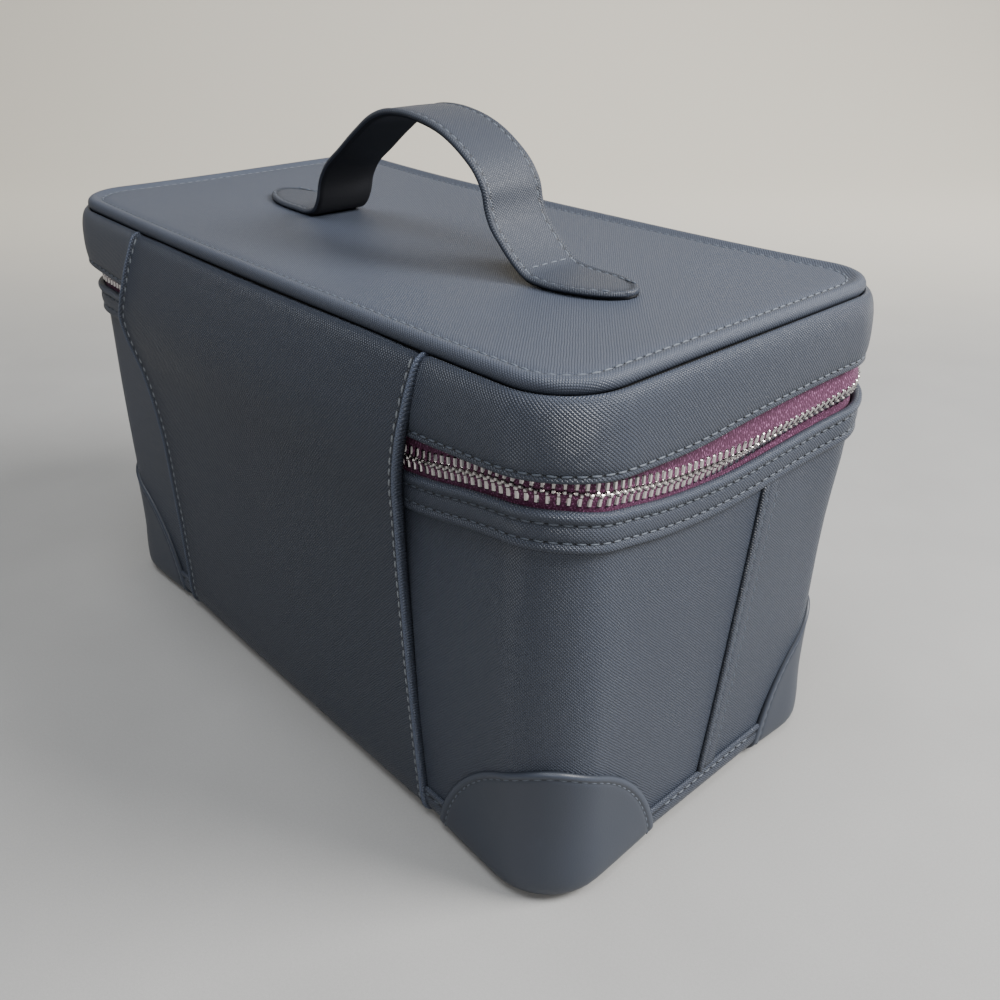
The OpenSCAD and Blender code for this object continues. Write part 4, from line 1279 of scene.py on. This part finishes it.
# Sewing.
STITCH_PITCH = 3.9 * MM
STITCH_TURN = 0.09
STITCH_SEED = 5
stitch = stitch_shape(length=3.7 * MM, width=0.8 * MM, rise=0.7 * MM)
stitches = {}
for i, (owner, rows) in enumerate(sorted(sewn.items())):
    thread_used = highlighted_thread if owner == "hinge" else thread
    stitches[owner] = spread(
        owner + "_stitches", rows, stitch, STITCH_PITCH, STITCH_TURN, STITCH_SEED + i, thread_used
    )
bpy.data.objects.remove(stitch)

# What each piece moves with, and the CAD parts it stands in for, which are hidden.
for piece in (
    front_cover, rear_left, rear_right, rim, strip_left, strip_right, lower_tape, lower_teeth, wall_lining,
    rim_binding, floor_pad, stitches["case"], *trims.values(), *patches.values(),
):
    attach(piece, "case")
for piece in (
    lid_wall, lid_top, upper_tape, upper_teeth, lid_lining, lid_binding, ceiling, handle, handle_under,
    stitches["lid"], stitches["handle"],
):
    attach(piece, "lid")
for piece in (hinge, stitches["hinge"]):
    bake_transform(piece)

for piece, *nodes in (
    (front_cover, "front_cover"),
    (rear_left, "rear_cover_left"),
    (rear_right, "rear_cover_right"),
    (rim, "rim_band"),
    (strip_left, "seam_strip_left"),
    (strip_right, "seam_strip_right"),
    *((made, node) for node, made in {**trims, **patches}.items()),
    (lower_tape, "zip_tape_lower"),
    (upper_tape, "zip_tape_upper"),
    (lower_teeth, "zip_teeth_lower"),
    (upper_teeth, "zip_teeth_upper"),
    (hinge, "hinge_panel_lower", "hinge_fold", "hinge_panel_upper"),
    (lid_wall, "lid_wall_cover", "lid_wall_foam"),
    (lid_top, "lid_top_cover", "lid_top_foam", "lid_piping", "lid_piping_cord"),
    (handle, "handle_outer", "handle_core"),
    (handle_under, "handle_underside"),
    (wall_lining, "wall_lining"),
    (lid_lining, "lid_wall_lining"),
    (rim_binding, "rim_binding"),
    (lid_binding, "lid_binding"),
    (floor_pad, "floor_lining"),
    (ceiling, "lid_ceiling_lining"),
):
    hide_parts(*nodes)

# CAD parts that keep their shape.
for names, material in (
    (("base_board", "wall_board", "back_stiffener", "lid_wall_board"), board),
    (("lid_top_board",), groove_shade_board),
    (("wall_foam",), foam),
    (("base_cover",), hatched_solid),
    (("zip_slider_left", "zip_slider_right", "zip_pull_left", "zip_pull_right"), silver),
):
    for name in names:
        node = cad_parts[name]
        node.data.materials.clear()
        node.data.materials.append(material)


# Stage, light and camera. AHEAD is the way the camera looks, along the floor.
AHEAD = (0.74, -0.67)
STAGE_NEAR = -2.5
STAGE_BEND = 1.0
STAGE_R = 0.8
STAGE_TOP = 3
STAGE_HALF = 6


def stage_sheet():
    """A pale floor that curves up into a backdrop behind the case, as the camera sees it."""
    ahead = np.array(AHEAD)
    side = np.array([-ahead[1], ahead[0]])
    turn = np.radians(np.linspace(0, 90, 13))
    line = [(STAGE_NEAR, 0), (STAGE_BEND - 0.1, 0)]
    line += [(STAGE_BEND + STAGE_R * math.sin(a), STAGE_R - STAGE_R * math.cos(a)) for a in turn]
    line.append((STAGE_BEND + STAGE_R, STAGE_TOP))
    points = [[*(ahead * d + side * w), z] for d, z in line for w in (-STAGE_HALF, STAGE_HALF)]
    faces = [(2 * i, 2 * i + 2, 2 * i + 3, 2 * i + 1) for i in range(len(line) - 1)]
    floor = add_mesh("floor", points, faces, [[p[0], p[1]] for p in points], pale)


def floor_material():
    """Pale floor that turns into a lighter, warmer backdrop."""
    material = fibre("pale floor", colour(0.318, 0.315, 0.309), rough=0.7)
    tree = material.node_tree
    surface = tree.nodes["Principled BSDF"]
    floor_tone = surface.inputs["Base Color"].links[0].from_socket
    place = add_node(tree, "ShaderNodeTexCoord", {})["Object"]
    climb = remap(tree, dot(tree, place, (*AHEAD, 0)), 0.25, 1.0, "SMOOTHSTEP")
    wall = blend_colour(tree, climb, floor_tone, colour(0.735, 0.69, 0.6))
    set_inputs(tree, surface, {"Base Color": wall})
    return material


pale = floor_material()
stage_sheet()


def area_light(name, place, aim, size, power, tint):
    """A round light at a place, turned towards an aim."""
    data = bpy.data.lights.new(name, "AREA")
    data.shape = "DISK"
    data.size = size
    data.energy = power
    data.color = tint
    lamp = new_object(name, data)
    lamp.visible_camera = False
    back = np.array(place, float) - np.array(aim, float)
    back = back / np.linalg.norm(back)
    right = np.cross((0, 0, 1), back)
    right = right / np.linalg.norm(right)
    up = np.cross(back, right)
    turn = np.eye(4)
    turn[:3, 0], turn[:3, 1], turn[:3, 2], turn[:3, 3] = right, up, back, place
    lamp.matrix_world = Matrix(turn.tolist())


area_light("window", (-0.95, -0.75, 1.1), (0, 0, 0.1), 0.8, 57, (1.0, 0.985, 0.96))
area_light("room", (-0.9, 0.75, 0.9), (-0.1, 0.05, 0.12), 0.5, 6, (1.0, 0.99, 0.97))
area_light("ceiling", (-0.12, 0.3, 1.7), (0, 0, 0.1), 1.0, 24.5, (0.95, 0.98, 1.02))
world = bpy.data.worlds.new("soft room")
world.use_nodes = True
sky = {"Color": colour(0.82, 0.84, 0.86), "Strength": 0.27}
set_inputs(world.node_tree, world.node_tree.nodes["Background"], sky)
bpy.context.scene.world = world

camera = bpy.data.cameras.new("photo view")
camera.lens = 34.725
camera.sensor_width = 36
camera.clip_start = 0.01
eye = new_object("photo view", camera)
eye.location = (-0.2940, 0.2312, 0.2746)
eye.rotation_euler = (math.radians(60.8), math.radians(-0.3), math.radians(-132.5))
bpy.context.scene.camera = eye
